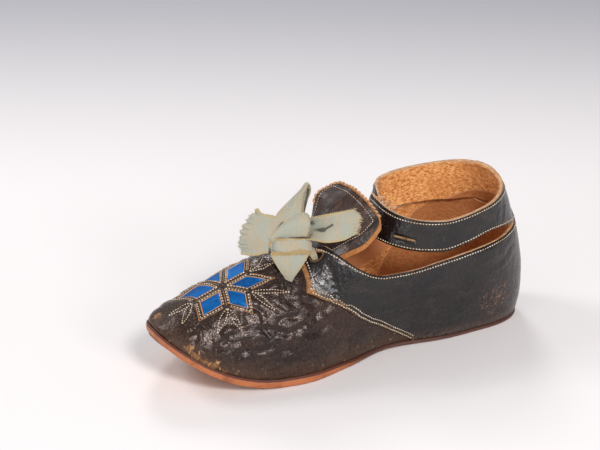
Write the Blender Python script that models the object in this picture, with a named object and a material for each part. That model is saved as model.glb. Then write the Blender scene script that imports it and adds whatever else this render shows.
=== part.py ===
"""Child's leather ankle-strap shoe with a ribbon bow.

The toe points to -X, the heel to +X and +Z is up. The shoe stands on the
flats under its ball and heel at Z = 0, in the middle of its own outline.
Lengths in the tables are in millimetres.
"""

import math

import bmesh
import bpy
import numpy as np
from mathutils import Matrix, Vector

MM = 0.001

# The shoe stands in the middle of its own box
MIDDLE_X = 10.85

# Sole
TOE_X = -84.6
HEEL_X = 61.4
LENGTH = HEEL_X - TOE_X
BALL_HALF = 25.5
TOE_SPRING = 18.4
SPRING_START_X = -45.0
SPRING_POWER = 1.8
ARCH = 0.5
SOLE_FRONT = 2.2
SOLE_BACK = 1.5
TOE_ROUND = 0.16
HEEL_ROUND = 0.14
END_POWER = 2.3
EDGE_FRONT = 1.0
EDGE_BACK = 0.25

# Walls and clearances
GAP = 0.3
VAMP_WALL = 1.3
QUARTER_WALL = 2.0
STRAP_WALL = 1.6
INSOLE = 1.2
TONGUE_WALL = 1.2

# Upper
TOP_TOE_X = -81.0
TOP_HEEL_X = 57.6
TAB_X = -29.5
SEAM_END_X = 11.5
SEAM_CORNER = 0.57
SEAM_BOW = 1.9
HEEL_TOP_ROUND = 27.0

# Ankle strap
RING_FRONT_X = 6.8
RING_BACK_X = 51.4
RING_HALF = 20.9
RING_TILT = 0.05
RING_POWER = 2.3
RING_LEAN_FRONT = 4.0
RING_LEAN_BACK = 3.6

# The far side slit has closed: the quarter stands up and out, and the strap sags inside it
FAR_RISE = 3.0
FAR_FLARE = 1.6
FAR_SAG = 1.6
FAR_TUCK = 1.7

EYELET_RADIUS = 1.7
EYELET = (-24.6, 9.4, 41.0)

STATIONS = 44
GIRTH = 14

# share: part of the sole's length from the toe; half: part of BALL_HALF
SOLE_TABLE = {
    "share": (0.0, 0.08, 0.20, 0.34, 0.46, 0.60, 0.76, 0.90, 1.0),
    "half": (0.74, 0.79, 0.895, 1.0, 0.84, 0.608, 0.682, 0.645, 0.65),
}

# x: station; z: height of the lining's top line; side: how far it is from the middle.
# out and rise lead the wall up from the sole, spread and drop lead it to the top line.
LAST_TABLE = {
    "x": (-81.0, -76.0, -68.0, -57.0, -46.0, -36.0, -29.5, -25.0, -20.5, -17.0, -12.5, -8.0, -3.0, 8.0, 22.0, 38.0, 50.0, 57.6),
    "z": (22.8, 25.5, 28.8, 33.6, 37.2, 39.8, 41.0, 41.6, 43.4, 41.2, 37.6, 35.0, 33.5, 33.3, 34.6, 36.6, 37.6, 38.4),
    "side": (0.0, 0.0, 0.0, 0.0, 0.0, 0.0, 0.0, 4.2, 8.6, 13.2, 16.8, 18.4, 19.0, 19.3, 19.4, 19.4, 19.4, 19.4),
    "out": (0.6, 0.8, 1.0, 1.4, 1.6, 1.6, 1.6, 1.6, 1.6, 1.6, 1.6, 1.6, 1.8, 2.4, 2.8, 3.2, 3.5, 3.7),
    "rise": (1.8, 4.6, 8.0, 12.5, 15.5, 17.0, 18.0, 18.0, 17.5, 17.0, 15.0, 13.5, 12.5, 12.0, 12.0, 12.0, 12.0, 12.0),
    "spread": (3.0, 11.0, 14.5, 16.0, 16.0, 15.0, 13.0, 10.5, 8.0, 5.5, 3.6, 2.4, 1.4, 0.8, 0.8, 1.3, 1.9, 2.4),
    "drop": (0.0, 0.0, 0.3, 0.6, 1.0, 1.6, 2.4, 4.0, 6.0, 8.0, 9.5, 10.5, 11.0, 11.0, 11.0, 11.0, 11.0, 11.0),
}

# turn: degrees round the strap from its front; low and high: heights of its edges
STRAP_TABLE = {
    "turn": (0.0, 30.0, 60.0, 100.0, 140.0, 165.0, 180.0),
    "low": (40.6, 40.4, 39.8, 39.2, 39.4, 39.0, 38.6),
    "high": (52.6, 52.0, 51.8, 52.2, 54.0, 55.4, 56.0),
}

# x and z: the tongue's middle line; half: half its width; lean: rise towards the far side;
# droop: fall of its edges; skew: how far back each millimetre to the near side lies
TONGUE_TABLE = {
    "x": (-34.0, -28.0, -22.0, -18.0, -14.0, -9.0, -3.6, -1.8),
    "z": (35.6, 38.2, 41.6, 45.0, 48.6, 52.2, 55.4, 56.6),
    "half": (9.5, 10.8, 11.0, 10.5, 10.9, 13.0, 12.2, 9.6),
    "lean": (0.0, 0.0, 0.0, 0.08, 0.30, 0.42, 0.34, 0.33),
    "droop": (1.5, 2.8, 4.8, 7.2, 6.8, 4.6, 3.8, 2.6),
    "skew": (0.0, 0.0, 0.0, 0.06, 0.16, 0.25, 0.30, 0.30),
}


def read(table, key, column, at):
    """A column of a table as a smooth curve that doesn't overshoot its rows."""
    x = np.array(table[key])
    y = np.array(table[column])
    h = np.diff(x)
    slope = np.diff(y) / h
    m = np.zeros(len(x))
    for i in range(1, len(x) - 1):
        if slope[i - 1] * slope[i] > 0.0:
            a = 2.0 * h[i] + h[i - 1]
            b = h[i] + 2.0 * h[i - 1]
            m[i] = (a + b) / (a / slope[i - 1] + b / slope[i])
    m[0] = slope[0]
    m[-1] = slope[-1]
    at = min(max(at, x[0]), x[-1])
    i = min(int(np.searchsorted(x, at, side="right")) - 1, len(x) - 2)
    t = (at - x[i]) / h[i]
    return float(
        (2 * t**3 - 3 * t**2 + 1) * y[i]
        + (t**3 - 2 * t**2 + t) * h[i] * m[i]
        + (3 * t**2 - 2 * t**3) * y[i + 1]
        + (t**3 - t**2) * h[i] * m[i + 1]
    )


def ease(a, b, x):
    """0 below a, 1 above b, smooth between."""
    t = min(max((x - a) / (b - a), 0.0), 1.0)
    return t * t * (3.0 - 2.0 * t)


def round_end(share, span, power):
    """Width factor that rounds off an end over a span."""
    t = min(max(share / span, 0.0), 1.0)
    return (1.0 - (1.0 - t) ** power) ** (1.0 / power)


def spring(x):
    """Height of the sole's underside."""
    rise = max((SPRING_START_X - x) / (SPRING_START_X - TOE_X), 0.0)
    arch = math.sin(math.pi * min(max((x + 20.0) / 52.0, 0.0), 1.0)) ** 2
    return TOE_SPRING * rise**SPRING_POWER + ARCH * arch


def sole_thickness(x):
    return SOLE_FRONT + (SOLE_BACK - SOLE_FRONT) * ease(-22.0, 6.0, x)


def sole_top(x):
    return spring(x) + sole_thickness(x)


def outline(angle, inset=0.0):
    """Point on the near half of the sole's outline; angle 0 is the toe, pi the heel."""

    def at(a):
        share = (1.0 - math.cos(a)) / 2.0
        half = BALL_HALF * read(SOLE_TABLE, "share", "half", share)
        half *= round_end(share, TOE_ROUND, END_POWER)
        half *= round_end(1.0 - share, HEEL_ROUND, END_POWER)
        return np.array((TOE_X + LENGTH * share, -half))

    p = at(angle)
    if inset == 0.0:
        return p
    return p - side_normal(at, angle) * inset


def side_normal(curve, angle):
    """Outward direction of a near-side plan curve that runs from toe to heel."""
    if angle < 1e-6:
        return np.array((-1.0, 0.0))
    if angle > math.pi - 1e-6:
        return np.array((1.0, 0.0))
    d = curve(min(angle + 1e-3, math.pi)) - curve(max(angle - 1e-3, 0.0))
    d /= np.linalg.norm(d)
    return np.array((d[1], -d[0]))


def foot_edge(angle):
    """Lower edge of the lining, just above the sole and inside the wall."""
    x = outline(angle)[0]
    edge = EDGE_FRONT + (EDGE_BACK - EDGE_FRONT) * ease(-22.0, 6.0, x)
    wall = VAMP_WALL + (QUARTER_WALL - VAMP_WALL) * ease(0.0, 16.0, x)
    p = outline(angle, edge + wall)
    if angle in (0.0, math.pi):
        p[1] = 0.0
    return np.array((p[0], p[1], sole_top(x) + GAP))


def far_part(x, fade):
    """1 along the far side slit, 0 at the tab and at the heel."""
    return ease(TAB_X + 16.0, RING_FRONT_X, x) * (1.0 - ease(RING_BACK_X - fade, RING_BACK_X - fade + 13.0, x))


def top_plan(angle, far=0.0):
    share = (1.0 - math.cos(angle)) / 2.0
    x = TOP_TOE_X + (TOP_HEEL_X - TOP_TOE_X) * share
    side = read(LAST_TABLE, "x", "side", x) + far * FAR_FLARE * far_part(x, 15.0)
    side *= round_end(TOP_HEEL_X - x, HEEL_TOP_ROUND, 2.2)
    return np.array((x, -side))


def top_line(angle, far=0.0):
    p = top_plan(angle, far)
    return np.array((p[0], p[1], read(LAST_TABLE, "x", "z", p[0]) + far * FAR_RISE * far_part(p[0], 22.0)))


def last_point(angle, girth, far=0.0):
    """The near half of the lining: girth 0 at the sole, 1 at the top line; far is 1 for the other half, before it is mirrored."""
    foot = foot_edge(angle)
    top = top_line(angle, far)
    x = top[0]
    out = read(LAST_TABLE, "x", "out", x)
    rise = read(LAST_TABLE, "x", "rise", x)
    spread = read(LAST_TABLE, "x", "spread", x)
    drop = read(LAST_TABLE, "x", "drop", x)
    foot_out = side_normal(lambda a: outline(a), angle)
    across = foot[:2] - top[:2]
    reach = float(np.linalg.norm(across))
    across = across / reach if reach > 1e-6 else foot_out
    back = ease(24.0, 44.0, x)
    toe_slope = (read(LAST_TABLE, "x", "z", x + 1.0) - read(LAST_TABLE, "x", "z", x)) if x < -70.0 else 0.0
    if x < -20.0:
        spread = min(spread, 0.62 * reach)
    top_out = across * (1.0 - back) + side_normal(top_plan, angle) * back
    if -29.4 < x:
        lateral = ease(-29.4, -15.0, x) * (1.0 - back)
        top_out = top_out * (1.0 - lateral) + np.array((0.0, -1.0)) * lateral
    top_out = top_out / np.linalg.norm(top_out)
    a = foot
    b = foot + np.array((foot_out[0] * out, foot_out[1] * out, rise))
    c = top + np.array((top_out[0] * spread, top_out[1] * spread, top_out[0] * spread * toe_slope - drop))
    t = girth
    return (1 - t) ** 3 * a + 3 * (1 - t) ** 2 * t * b + 3 * (1 - t) * t**2 * c + t**3 * top


def angle_at(x, first, last):
    share = min(max((x - first) / (last - first), 0.0), 1.0)
    return math.acos(1.0 - 2.0 * share)


def wall_height(girth):
    """Height of the wall at a girth, as a share of its full height."""
    return 3 * (1 - girth) ** 2 * girth * 0.46 + 3 * (1 - girth) * girth**2 * 0.93 + girth**3


def column_angle(column, girth):
    """Columns lean so that one of them follows the quarter's front edge down to the sole."""
    top_tab = angle_at(TAB_X, TOP_TOE_X, TOP_HEEL_X)
    foot_tab = angle_at(SEAM_END_X, TOE_X, HEEL_X)
    if column < 0.5:
        high = top_tab * column / 0.5
        low = foot_tab * column / 0.5
    else:
        high = top_tab + (math.pi - top_tab) * (column - 0.5) / 0.5
        low = foot_tab + (math.pi - foot_tab) * (column - 0.5) / 0.5
    lean = 1.0 - min(wall_height(girth) / wall_height(SEAM_CORNER), 1.0) ** SEAM_BOW
    share = (1.0 - math.cos(high)) * (1.0 - lean) / 2.0 + (1.0 - math.cos(low)) * lean / 2.0
    return math.acos(1.0 - 2.0 * min(max(share, 0.0), 1.0))


def ring_point(turn, level, inward=0.0):
    """The ankle strap's inner face: turn 0 at its front, + to the near side, 180 at the heel."""
    a = math.radians(turn)
    middle = (RING_FRONT_X + RING_BACK_X) / 2.0
    reach = (RING_BACK_X - RING_FRONT_X) / 2.0
    c = math.cos(a)
    s = math.sin(a)
    low = 1.0 - level
    front = reach + RING_LEAN_FRONT * low if c > 0.0 else reach + RING_LEAN_BACK * low
    x = middle - math.copysign(abs(c) ** (2.0 / RING_POWER), c) * (front - inward)
    y = -math.copysign(abs(s) ** (2.0 / RING_POWER), s) * (RING_HALF - inward)
    sag = ease(25.0, 60.0, -turn) * (1.0 - ease(98.0, 124.0, -turn)) * low
    turn = abs(turn)
    lower = read(STRAP_TABLE, "turn", "low", turn)
    upper = read(STRAP_TABLE, "turn", "high", turn)
    z = lower + (upper - lower) * level + RING_TILT * y
    return np.array((x, y - sag * FAR_TUCK, z - sag * FAR_SAG))


def material(name, colour, rough):
    m = bpy.data.materials.new(name)
    m.use_nodes = True
    shader = m.node_tree.nodes["Principled BSDF"]
    shader.inputs["Base Color"].default_value = (*colour, 1.0)
    shader.inputs["Roughness"].default_value = rough
    return m


def shell(base, faces, thickness, level=(), inward=False):
    """Closes a sheet of points into a wall of the given thickness; level points stay at their height."""
    base = np.array(base)
    normal = np.zeros_like(base)
    for f in faces:
        across = np.cross(base[f[2]] - base[f[0]], base[f[-1]] - base[f[1]])
        for i in f:
            normal[i] += across
    for i in level:
        normal[i][2] = 0.0
    normal /= np.linalg.norm(normal, axis=1)[:, None]
    count = len(base)
    points = np.vstack((base, base + normal * np.array(thickness)[:, None] * (-1.0 if inward else 1.0)))
    edges = {}
    for f in faces:
        for k in range(len(f)):
            edges[(f[k], f[(k + 1) % len(f)])] = True
    closed = [tuple(reversed(f)) for f in faces] + [tuple(i + count for i in f) for f in faces]
    closed += [(a, b, b + count, a + count) for a, b in edges if (b, a) not in edges]
    if inward:
        closed = [tuple(reversed(f)) for f in closed]
    return points, closed


def add(name, points, faces, colour, rough=0.6, sharp=40.0):
    mesh = bpy.data.meshes.new(name)
    mesh.from_pydata([tuple(p * MM) for p in points], [], faces)
    mesh.validate()
    work = bmesh.new()
    work.from_mesh(mesh)
    bmesh.ops.recalc_face_normals(work, faces=work.faces[:])
    work.to_mesh(mesh)
    work.free()
    mesh.polygons.foreach_set("use_smooth", [True] * len(mesh.polygons))
    mesh.set_sharp_from_angle(angle=math.radians(sharp))
    obj = bpy.data.objects.new(name, mesh)
    obj.data.materials.append(material(name, colour, rough))
    bpy.context.scene.collection.objects.link(obj)
    obj.location.x = MIDDLE_X * MM
    return obj


def mirror_pair(near):
    return np.array((near[0], -near[1], near[2]))


for old in list(bpy.data.objects):
    bpy.data.objects.remove(old, do_unlink=True)


# Sole: rings of its edge, then strips across the top and the underside
def plate(rings):
    """Rings of near-side points from toe to heel, bottom ring first, closed across."""
    points = []
    index = []
    for ring in rings:
        row = []
        for i, p in enumerate(ring):
            if i in (0, len(ring) - 1):
                row.append((len(points), len(points)))
                points.append(np.array((p[0], 0.0, p[2])))
            else:
                row.append((len(points), len(points) + 1))
                points.append(p)
                points.append(mirror_pair(p))
        index.append(row)
    faces = []
    for low, high in zip(index, index[1:]):
        for i in range(len(low) - 1):
            for side in (0, 1):
                quad = [low[i][side], low[i + 1][side], high[i + 1][side], high[i][side]]
                faces.append(tuple(quad if side == 0 else reversed(quad)))
    for row, flip in ((index[0], True), (index[-1], False)):
        for i in range(len(row) - 1):
            quad = [row[i][0], row[i + 1][0], row[i + 1][1], row[i][1]]
            quad = list(dict.fromkeys(quad))
            faces.append(tuple(reversed(quad) if flip else quad))
    return points, faces


def edge_ring(inset, lift):
    ring = []
    for i in range(STATIONS + 1):
        angle = math.pi * i / STATIONS
        x = outline(angle)[0]
        p = outline(angle, inset)
        ring.append(np.array((p[0], p[1], spring(x) + sole_thickness(x) * lift)))
    return ring


SOLE_RINGS = ((0.7, 0.0), (0.12, 0.24), (0.0, 0.5), (0.15, 0.66), (0.35, 0.68), (0.35, 1.0))
points, faces = plate([edge_ring(inset, lift) for inset, lift in SOLE_RINGS])
add("outsole", points, faces, (0.36, 0.17, 0.08), 0.6, 35.0)


# Insole: lies on the sole inside the upper
def insole_ring(inset, height):
    ring = []
    for i in range(STATIONS + 1):
        angle = math.pi * i / STATIONS
        foot = foot_edge(angle)
        n = side_normal(lambda a: outline(a), angle)
        x = foot[0] - n[0] * inset
        toe_lift = 0.4 * ease(46.0, 62.0, -x)
        ring.append(np.array((x, foot[1] - n[1] * inset, sole_top(x) + GAP + toe_lift + height)))
    return ring


points, faces = plate([insole_ring(0.6, 0.0), insole_ring(0.45, INSOLE * 0.5), insole_ring(0.7, INSOLE)])
add("insole", points, faces, (0.62, 0.42, 0.26), 0.8)


# Upper: near and far halves of the lining, with the ankle strap above the heel, closed into a wall
FRONT_COLUMNS = 22
BACK_COLUMNS = 24
STEP = 0.0012
columns = [0.5 * i / FRONT_COLUMNS for i in range(FRONT_COLUMNS)]
columns += [0.5 - STEP, 0.5 + STEP]
columns += [0.5 + 0.5 * i / BACK_COLUMNS for i in range(1, BACK_COLUMNS + 1)]
rows = [i / GIRTH for i in range(GIRTH + 1)]
rows = sorted(rows + [SEAM_CORNER])

points = []
walls = []
faces = []
half_index = {}
for side in (-1, 1):
    for c, column in enumerate(columns):
        for r, row in enumerate(rows):
            middle = c in (0, len(columns) - 1) or (row == 1.0 and c <= FRONT_COLUMNS + 1)
            if side == 1 and middle:
                half_index[side, c, r] = half_index[-1, c, r]
                continue
            p = last_point(column_angle(column, row), row, max(side, 0.0))
            if middle:
                p[1] = 0.0
            half_index[side, c, r] = len(points)
            points.append(p if side == -1 else mirror_pair(p))
            walls.append(VAMP_WALL if column < 0.5 else QUARTER_WALL)
    for c in range(len(columns) - 1):
        for r in range(len(rows) - 1):
            quad = [half_index[side, c, r], half_index[side, c + 1, r], half_index[side, c + 1, r + 1], half_index[side, c, r + 1]]
            quad = list(dict.fromkeys(quad))
            faces.append(tuple(quad if side == -1 else reversed(quad)))

# The strap grows out of the last columns at the heel and closes at the front, near end outside
JOINED = 3
LEVELS = (0.0, 0.34, 0.67, 1.0)
last_row = len(rows) - 1
strap_index = {}
for side in (-1, 1):
    for k in range(JOINED + 1):
        c = len(columns) - 1 - k
        low = half_index[side, c, last_row]
        y = abs(points[low][1])
        turn = 180.0 - math.degrees(math.asin(min((y / RING_HALF) ** (RING_POWER / 2.0), 1.0)))
        for n, level in enumerate(LEVELS):
            if n == 0:
                strap_index[side, k, 0] = low
                continue
            if side == 1 and k == 0:
                strap_index[side, k, n] = strap_index[-1, k, n]
                continue
            high = ring_point(turn if side == -1 else -turn, 1.0)
            bottom = points[low]
            share = level
            p = bottom + (high - bottom) * share
            if k == 0:
                p[1] = 0.0
            strap_index[side, k, n] = len(points)
            points.append(p)
            walls.append(STRAP_WALL)
    joined_turn = turn
    end = -16.0 if side == -1 else -46.0
    steps = 26 if side == -1 else 30
    for k in range(JOINED + 1, JOINED + 1 + steps):
        share = (k - JOINED) / steps
        t = joined_turn + (end - joined_turn) * share
        inward = 0.0
        if side == 1:
            inward = (STRAP_WALL + 2.0 * GAP) * (1.0 - ease(20.0, 62.0, t))
        for n, level in enumerate(LEVELS):
            p = ring_point(t if side == -1 else -t, level, inward)
            start = ring_point(joined_turn if side == -1 else -joined_turn, level)
            base = points[strap_index[side, JOINED, n]]
            p = p + (base - start) * (1.0 - ease(0.0, 0.3, share))
            strap_index[side, k, n] = len(points)
            points.append(p)
            walls.append(STRAP_WALL)
    for k in range(JOINED + steps):
        for n in range(len(LEVELS) - 1):
            quad = [strap_index[side, k, n], strap_index[side, k, n + 1], strap_index[side, k + 1, n + 1], strap_index[side, k + 1, n]]
            quad = list(dict.fromkeys(quad))
            faces.append(tuple(quad if side == -1 else reversed(quad)))

foot_points = [index for (side, c, r), index in half_index.items() if r == 0]
points, faces = shell(points, faces, walls, foot_points)
upper = add("upper", points, faces, (0.035, 0.028, 0.026), 0.4)


# Tongue: rises between the tabs, higher on its far side, and stays under the lining beside them
def lining_height(x, y):
    """Height of the lining above a point, or None where the throat is open."""
    angle = angle_at(x, TOP_TOE_X, TOP_HEEL_X)
    if abs(y) < -top_plan(angle)[1] - 2.4:
        return None
    low = 0.0
    high = 1.0
    for _ in range(24):
        middle = (low + high) / 2.0
        if -last_point(angle, middle)[1] > abs(y):
            low = middle
        else:
            high = middle
    return last_point(angle, (low + high) / 2.0)[2]


def tongue_point(share, across):
    x = TONGUE_TABLE["x"][0] + (TONGUE_TABLE["x"][-1] - TONGUE_TABLE["x"][0]) * share
    half = read(TONGUE_TABLE, "x", "half", x)
    y = half * across
    z = read(TONGUE_TABLE, "x", "z", x) + read(TONGUE_TABLE, "x", "lean", x) * y
    z -= read(TONGUE_TABLE, "x", "droop", x) * across**2
    x -= read(TONGUE_TABLE, "x", "skew", x) * y
    if x < -10.0:
        lining = lining_height(x, y)
        if lining is not None:
            z = min(z, lining - TONGUE_WALL - 2.0 * GAP - 0.1 * abs(y))
    return np.array((x, y, z))


TONGUE_ROWS = 16
TONGUE_ACROSS = 14
points = []
faces = []
for i in range(TONGUE_ROWS + 1):
    for j in range(TONGUE_ACROSS + 1):
        points.append(tongue_point(i / TONGUE_ROWS, 2.0 * j / TONGUE_ACROSS - 1.0))
for i in range(TONGUE_ROWS):
    for j in range(TONGUE_ACROSS):
        a = i * (TONGUE_ACROSS + 1) + j
        b = a + TONGUE_ACROSS + 1
        faces.append((a, b, b + 1, a + 1))
points, faces = shell(points, faces, [TONGUE_WALL] * len(points))
add("tongue", points, faces, (0.06, 0.03, 0.022), 0.45)


# Eyelets: a round hole through each tab
for side in (-1.0, 1.0):
    axis = Vector((0.1, side * 0.5, 0.86)).normalized()
    mesh = bpy.data.meshes.new("eyelet_cutter")
    work = bmesh.new()
    bmesh.ops.create_cone(work, cap_ends=True, segments=20, radius1=EYELET_RADIUS * MM, radius2=EYELET_RADIUS * MM, depth=9.0 * MM)
    turn = Vector((0.0, 0.0, 1.0)).rotation_difference(axis).to_matrix().to_4x4()
    centre = Vector((EYELET[0], side * EYELET[1], EYELET[2])) * MM
    bmesh.ops.transform(work, matrix=Matrix.Translation(centre) @ turn, verts=work.verts)
    work.to_mesh(mesh)
    work.free()
    cutter = bpy.data.objects.new("eyelet_cutter_near" if side < 0.0 else "eyelet_cutter_far", mesh)
    bpy.context.scene.collection.objects.link(cutter)
    cutter.location.x = MIDDLE_X * MM
    cutter.hide_render = True
    cutter.display_type = "WIRE"
    cut = upper.modifiers.new("eyelet", "BOOLEAN")
    cut.operation = "DIFFERENCE"
    cut.solver = "EXACT"
    cut.object = cutter


# Ribbon: a strip across the throat from eyelet to eyelet, under the knot
CROSSING_HALF = 1.8
CROSSING_LIFT = 0.5
RIBBON = 0.7
CROSSING_TABLE = {
    "side": (-7.2, -4.0, 0.0, 4.0, 7.2),
    "x": (-26.6, -29.6, -31.2, -29.6, -26.6),
    "z": (43.2, 43.6, 43.8, 43.6, 43.2),
}
points = []
faces = []
CROSSING_STEPS = 16
first_side = CROSSING_TABLE["side"][0]
last_side = CROSSING_TABLE["side"][-1]
for i in range(CROSSING_STEPS + 1):
    y = first_side + (last_side - first_side) * i / CROSSING_STEPS
    x = read(CROSSING_TABLE, "side", "x", y)
    z = read(CROSSING_TABLE, "side", "z", y)
    points.append(np.array((x - CROSSING_HALF, y, z - CROSSING_LIFT)))
    points.append(np.array((x + CROSSING_HALF, y, z + CROSSING_LIFT)))
for i in range(CROSSING_STEPS):
    faces.append((2 * i, 2 * i + 1, 2 * i + 3, 2 * i + 2))
points, faces = shell(points, faces, [RIBBON] * len(points))
add("ribbon_crossing", points, faces, (0.60, 0.66, 0.58), 0.7)


# Bow: its pieces are set out in a plane that faces up and to the near side, around the knot
KNOT = np.array((-32.8, -6.4, 46.5))
BOW_TURN = math.radians(-26.0)
BOW_LIFT = math.radians(25.5)
BOW_OUT = np.array((math.sin(BOW_TURN) * math.cos(BOW_LIFT), -math.cos(BOW_TURN) * math.cos(BOW_LIFT), math.sin(BOW_LIFT)))
BOW_RIGHT = np.array((math.cos(BOW_TURN), math.sin(BOW_TURN), 0.0))
BOW_UP = np.cross(BOW_OUT, BOW_RIGHT)

# share: part of the piece's length; right, up and out: its middle line from the knot;
# half: half its width; tilt: degrees its width is turned from the right; belly: how far its middle stands out
LEFT_END = {
    "share": (0.0, 0.35, 0.7, 1.0),
    "right": (-7.5, -9.9, -12.5, -14.8),
    "up": (4.0, 4.6, 5.2, 5.7),
    "out": (-1.0, -0.2, -1.4, -2.6),
    "half": (5.2, 6.4, 7.6, 8.4),
    "tilt": (80.0, 76.0, 72.0, 70.0),
    "belly": (0.6, 1.4, 1.0, 0.4),
}
UPPER_LOOP = {
    "share": (0.0, 0.2, 0.4, 0.5, 0.6, 0.8, 1.0),
    "right": (0.2, 2.6, 4.8, 5.6, 4.6, 2.2, -0.4),
    "up": (7.8, 13.2, 18.6, 20.6, 18.6, 13.2, 7.8),
    "out": (1.3, 1.9, 1.4, 0.0, -1.4, -2.4, -2.0),
    "half": (4.4, 3.8, 2.2, 1.4, 2.2, 3.8, 4.4),
    "tilt": (10.0, 0.0, -14.0, -20.0, -14.0, 0.0, 10.0),
    "belly": (0.5, 0.5, 0.3, 0.0, -0.3, -0.5, -0.5),
}
RIGHT_END = {
    "share": (0.0, 0.35, 0.7, 1.0),
    "right": (7.2, 12.6, 18.2, 23.4),
    "up": (6.4, 6.6, 7.2, 8.0),
    "out": (0.6, 2.6, 3.4, 2.6),
    "half": (3.8, 5.0, 5.6, 4.2),
    "tilt": (92.0, 98.0, 102.0, 100.0),
    "belly": (0.8, 1.4, 1.0, 0.4),
}
TAIL = {
    "share": (0.0, 0.5, 1.0),
    "right": (0.0, -0.4, -0.6),
    "up": (-3.6, -8.4, -12.8),
    "out": (2.4, 2.1, 1.9),
    "half": (5.6, 4.2, 0.7),
    "tilt": (0.0, 6.0, 0.0),
    "belly": (0.8, 0.6, 0.0),
}


def ribbon_piece(name, table, steps, across, thickness):
    points = []
    faces = []
    for i in range(steps + 1):
        share = i / steps
        middle = np.array([read(table, "share", k, share) for k in ("right", "up", "out")])
        half = read(table, "share", "half", share)
        tilt = math.radians(read(table, "share", "tilt", share))
        belly = read(table, "share", "belly", share)
        for j in range(across + 1):
            v = 2.0 * j / across - 1.0
            right = middle[0] + math.cos(tilt) * half * v
            up = middle[1] + math.sin(tilt) * half * v
            out = middle[2] + belly * (1.0 - v * v)
            points.append(KNOT + BOW_RIGHT * right + BOW_UP * up + BOW_OUT * out)
    for i in range(steps):
        for j in range(across):
            a = i * (across + 1) + j
            faces.append((a, a + across + 1, a + across + 2, a + 1))
    points, faces = shell(points, faces, [thickness] * len(points))
    return add(name, points, faces, (0.62, 0.68, 0.60), 0.7)


ribbon_piece("bow_left_end", LEFT_END, 8, 6, RIBBON)
ribbon_piece("bow_loop", UPPER_LOOP, 20, 4, RIBBON * 0.7)
ribbon_piece("bow_right_end", RIGHT_END, 10, 6, RIBBON)
ribbon_piece("bow_tail", TAIL, 8, 6, RIBBON)

# Knot: a rounded roll that the other pieces come out of
KNOT_HALF = 6.8
KNOT_THICK = 2.6
KNOT_STEPS = 14
KNOT_SIDES = 14
points = []
faces = []
for i in range(KNOT_STEPS + 1):
    v = 2.0 * i / KNOT_STEPS - 1.0
    size = math.sqrt(max(1.0 - abs(v) ** 3.0 * 0.86, 0.0))
    for j in range(KNOT_SIDES):
        a = 2.0 * math.pi * j / KNOT_SIDES
        right = KNOT_HALF * v
        up = 2.0 + math.sin(a) * 5.7 * size
        out = math.cos(a) * KNOT_THICK * 0.8 * size - 0.6
        points.append(KNOT + BOW_RIGHT * right + BOW_UP * up + BOW_OUT * out)
for i in range(KNOT_STEPS):
    for j in range(KNOT_SIDES):
        a = i * KNOT_SIDES + j
        b = i * KNOT_SIDES + (j + 1) % KNOT_SIDES
        faces.append((a, b, b + KNOT_SIDES, a + KNOT_SIDES))
faces.append(tuple(range(KNOT_SIDES)))
faces.append(tuple(reversed(range(KNOT_STEPS * KNOT_SIDES, (KNOT_STEPS + 1) * KNOT_SIDES))))
add("bow_knot", points, faces, (0.60, 0.66, 0.58), 0.7)
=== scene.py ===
"""Child's leather ankle-strap shoe with a ribbon bow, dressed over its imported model.

Shapes are worked out in millimetres in the last's own frame, with the toe to -X, the heel to +X,
the near side to -Y and +Z up, and each mesh is put in place in metres when it is made.
"""

import math

import bmesh
import bpy
import numpy as np
from mathutils import Matrix, Vector
from mathutils.bvhtree import BVHTree
from mathutils.geometry import barycentric_transform


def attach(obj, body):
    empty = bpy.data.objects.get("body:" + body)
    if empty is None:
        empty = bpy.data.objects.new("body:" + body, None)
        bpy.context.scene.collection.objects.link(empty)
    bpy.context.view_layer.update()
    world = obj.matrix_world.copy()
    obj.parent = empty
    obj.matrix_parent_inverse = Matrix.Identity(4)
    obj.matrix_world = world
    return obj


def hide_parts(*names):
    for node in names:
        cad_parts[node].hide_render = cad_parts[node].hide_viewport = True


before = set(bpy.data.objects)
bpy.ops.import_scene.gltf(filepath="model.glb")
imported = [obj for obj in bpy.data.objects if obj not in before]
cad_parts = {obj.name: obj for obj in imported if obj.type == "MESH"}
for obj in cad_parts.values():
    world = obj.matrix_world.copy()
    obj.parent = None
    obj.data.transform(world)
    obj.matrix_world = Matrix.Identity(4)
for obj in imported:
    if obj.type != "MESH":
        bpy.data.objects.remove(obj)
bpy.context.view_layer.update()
MM = 0.001

# The camera stands far off to the near front, a little above the shoe, with a long lens.
# A point on the floor under the ball sits where it does in the picture.
PICTURE = (600, 450)
TURN = math.radians(-26.0)
TILT = math.radians(25.5)
FOCAL = 2604.0
SCALE = 2.75
BALL_MARK = (384.0, 352.0)
SENSOR = 36.0
back = Vector((math.sin(TURN) * math.cos(TILT), -math.cos(TURN) * math.cos(TILT), math.sin(TILT)))
right = Vector((math.cos(TURN), math.sin(TURN), 0.0))
up = back.cross(right)
ray = -back + right * (BALL_MARK[0] - PICTURE[0] / 2) / FOCAL - up * (BALL_MARK[1] - PICTURE[1] / 2) / FOCAL
place = Vector((10.85, -16.0, 0.0)) * MM - ray * FOCAL / SCALE * MM
camera = bpy.data.objects.new("camera", bpy.data.cameras.new("camera"))
camera.data.sensor_width = SENSOR
camera.data.lens = SENSOR * FOCAL / PICTURE[0]
camera.data.clip_start = 0.01
camera.data.clip_end = 20.0
camera.matrix_world = Matrix.Translation(place) @ Matrix((right, up, back)).transposed().to_4x4()
bpy.context.scene.collection.objects.link(camera)
bpy.context.scene.camera = camera


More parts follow.
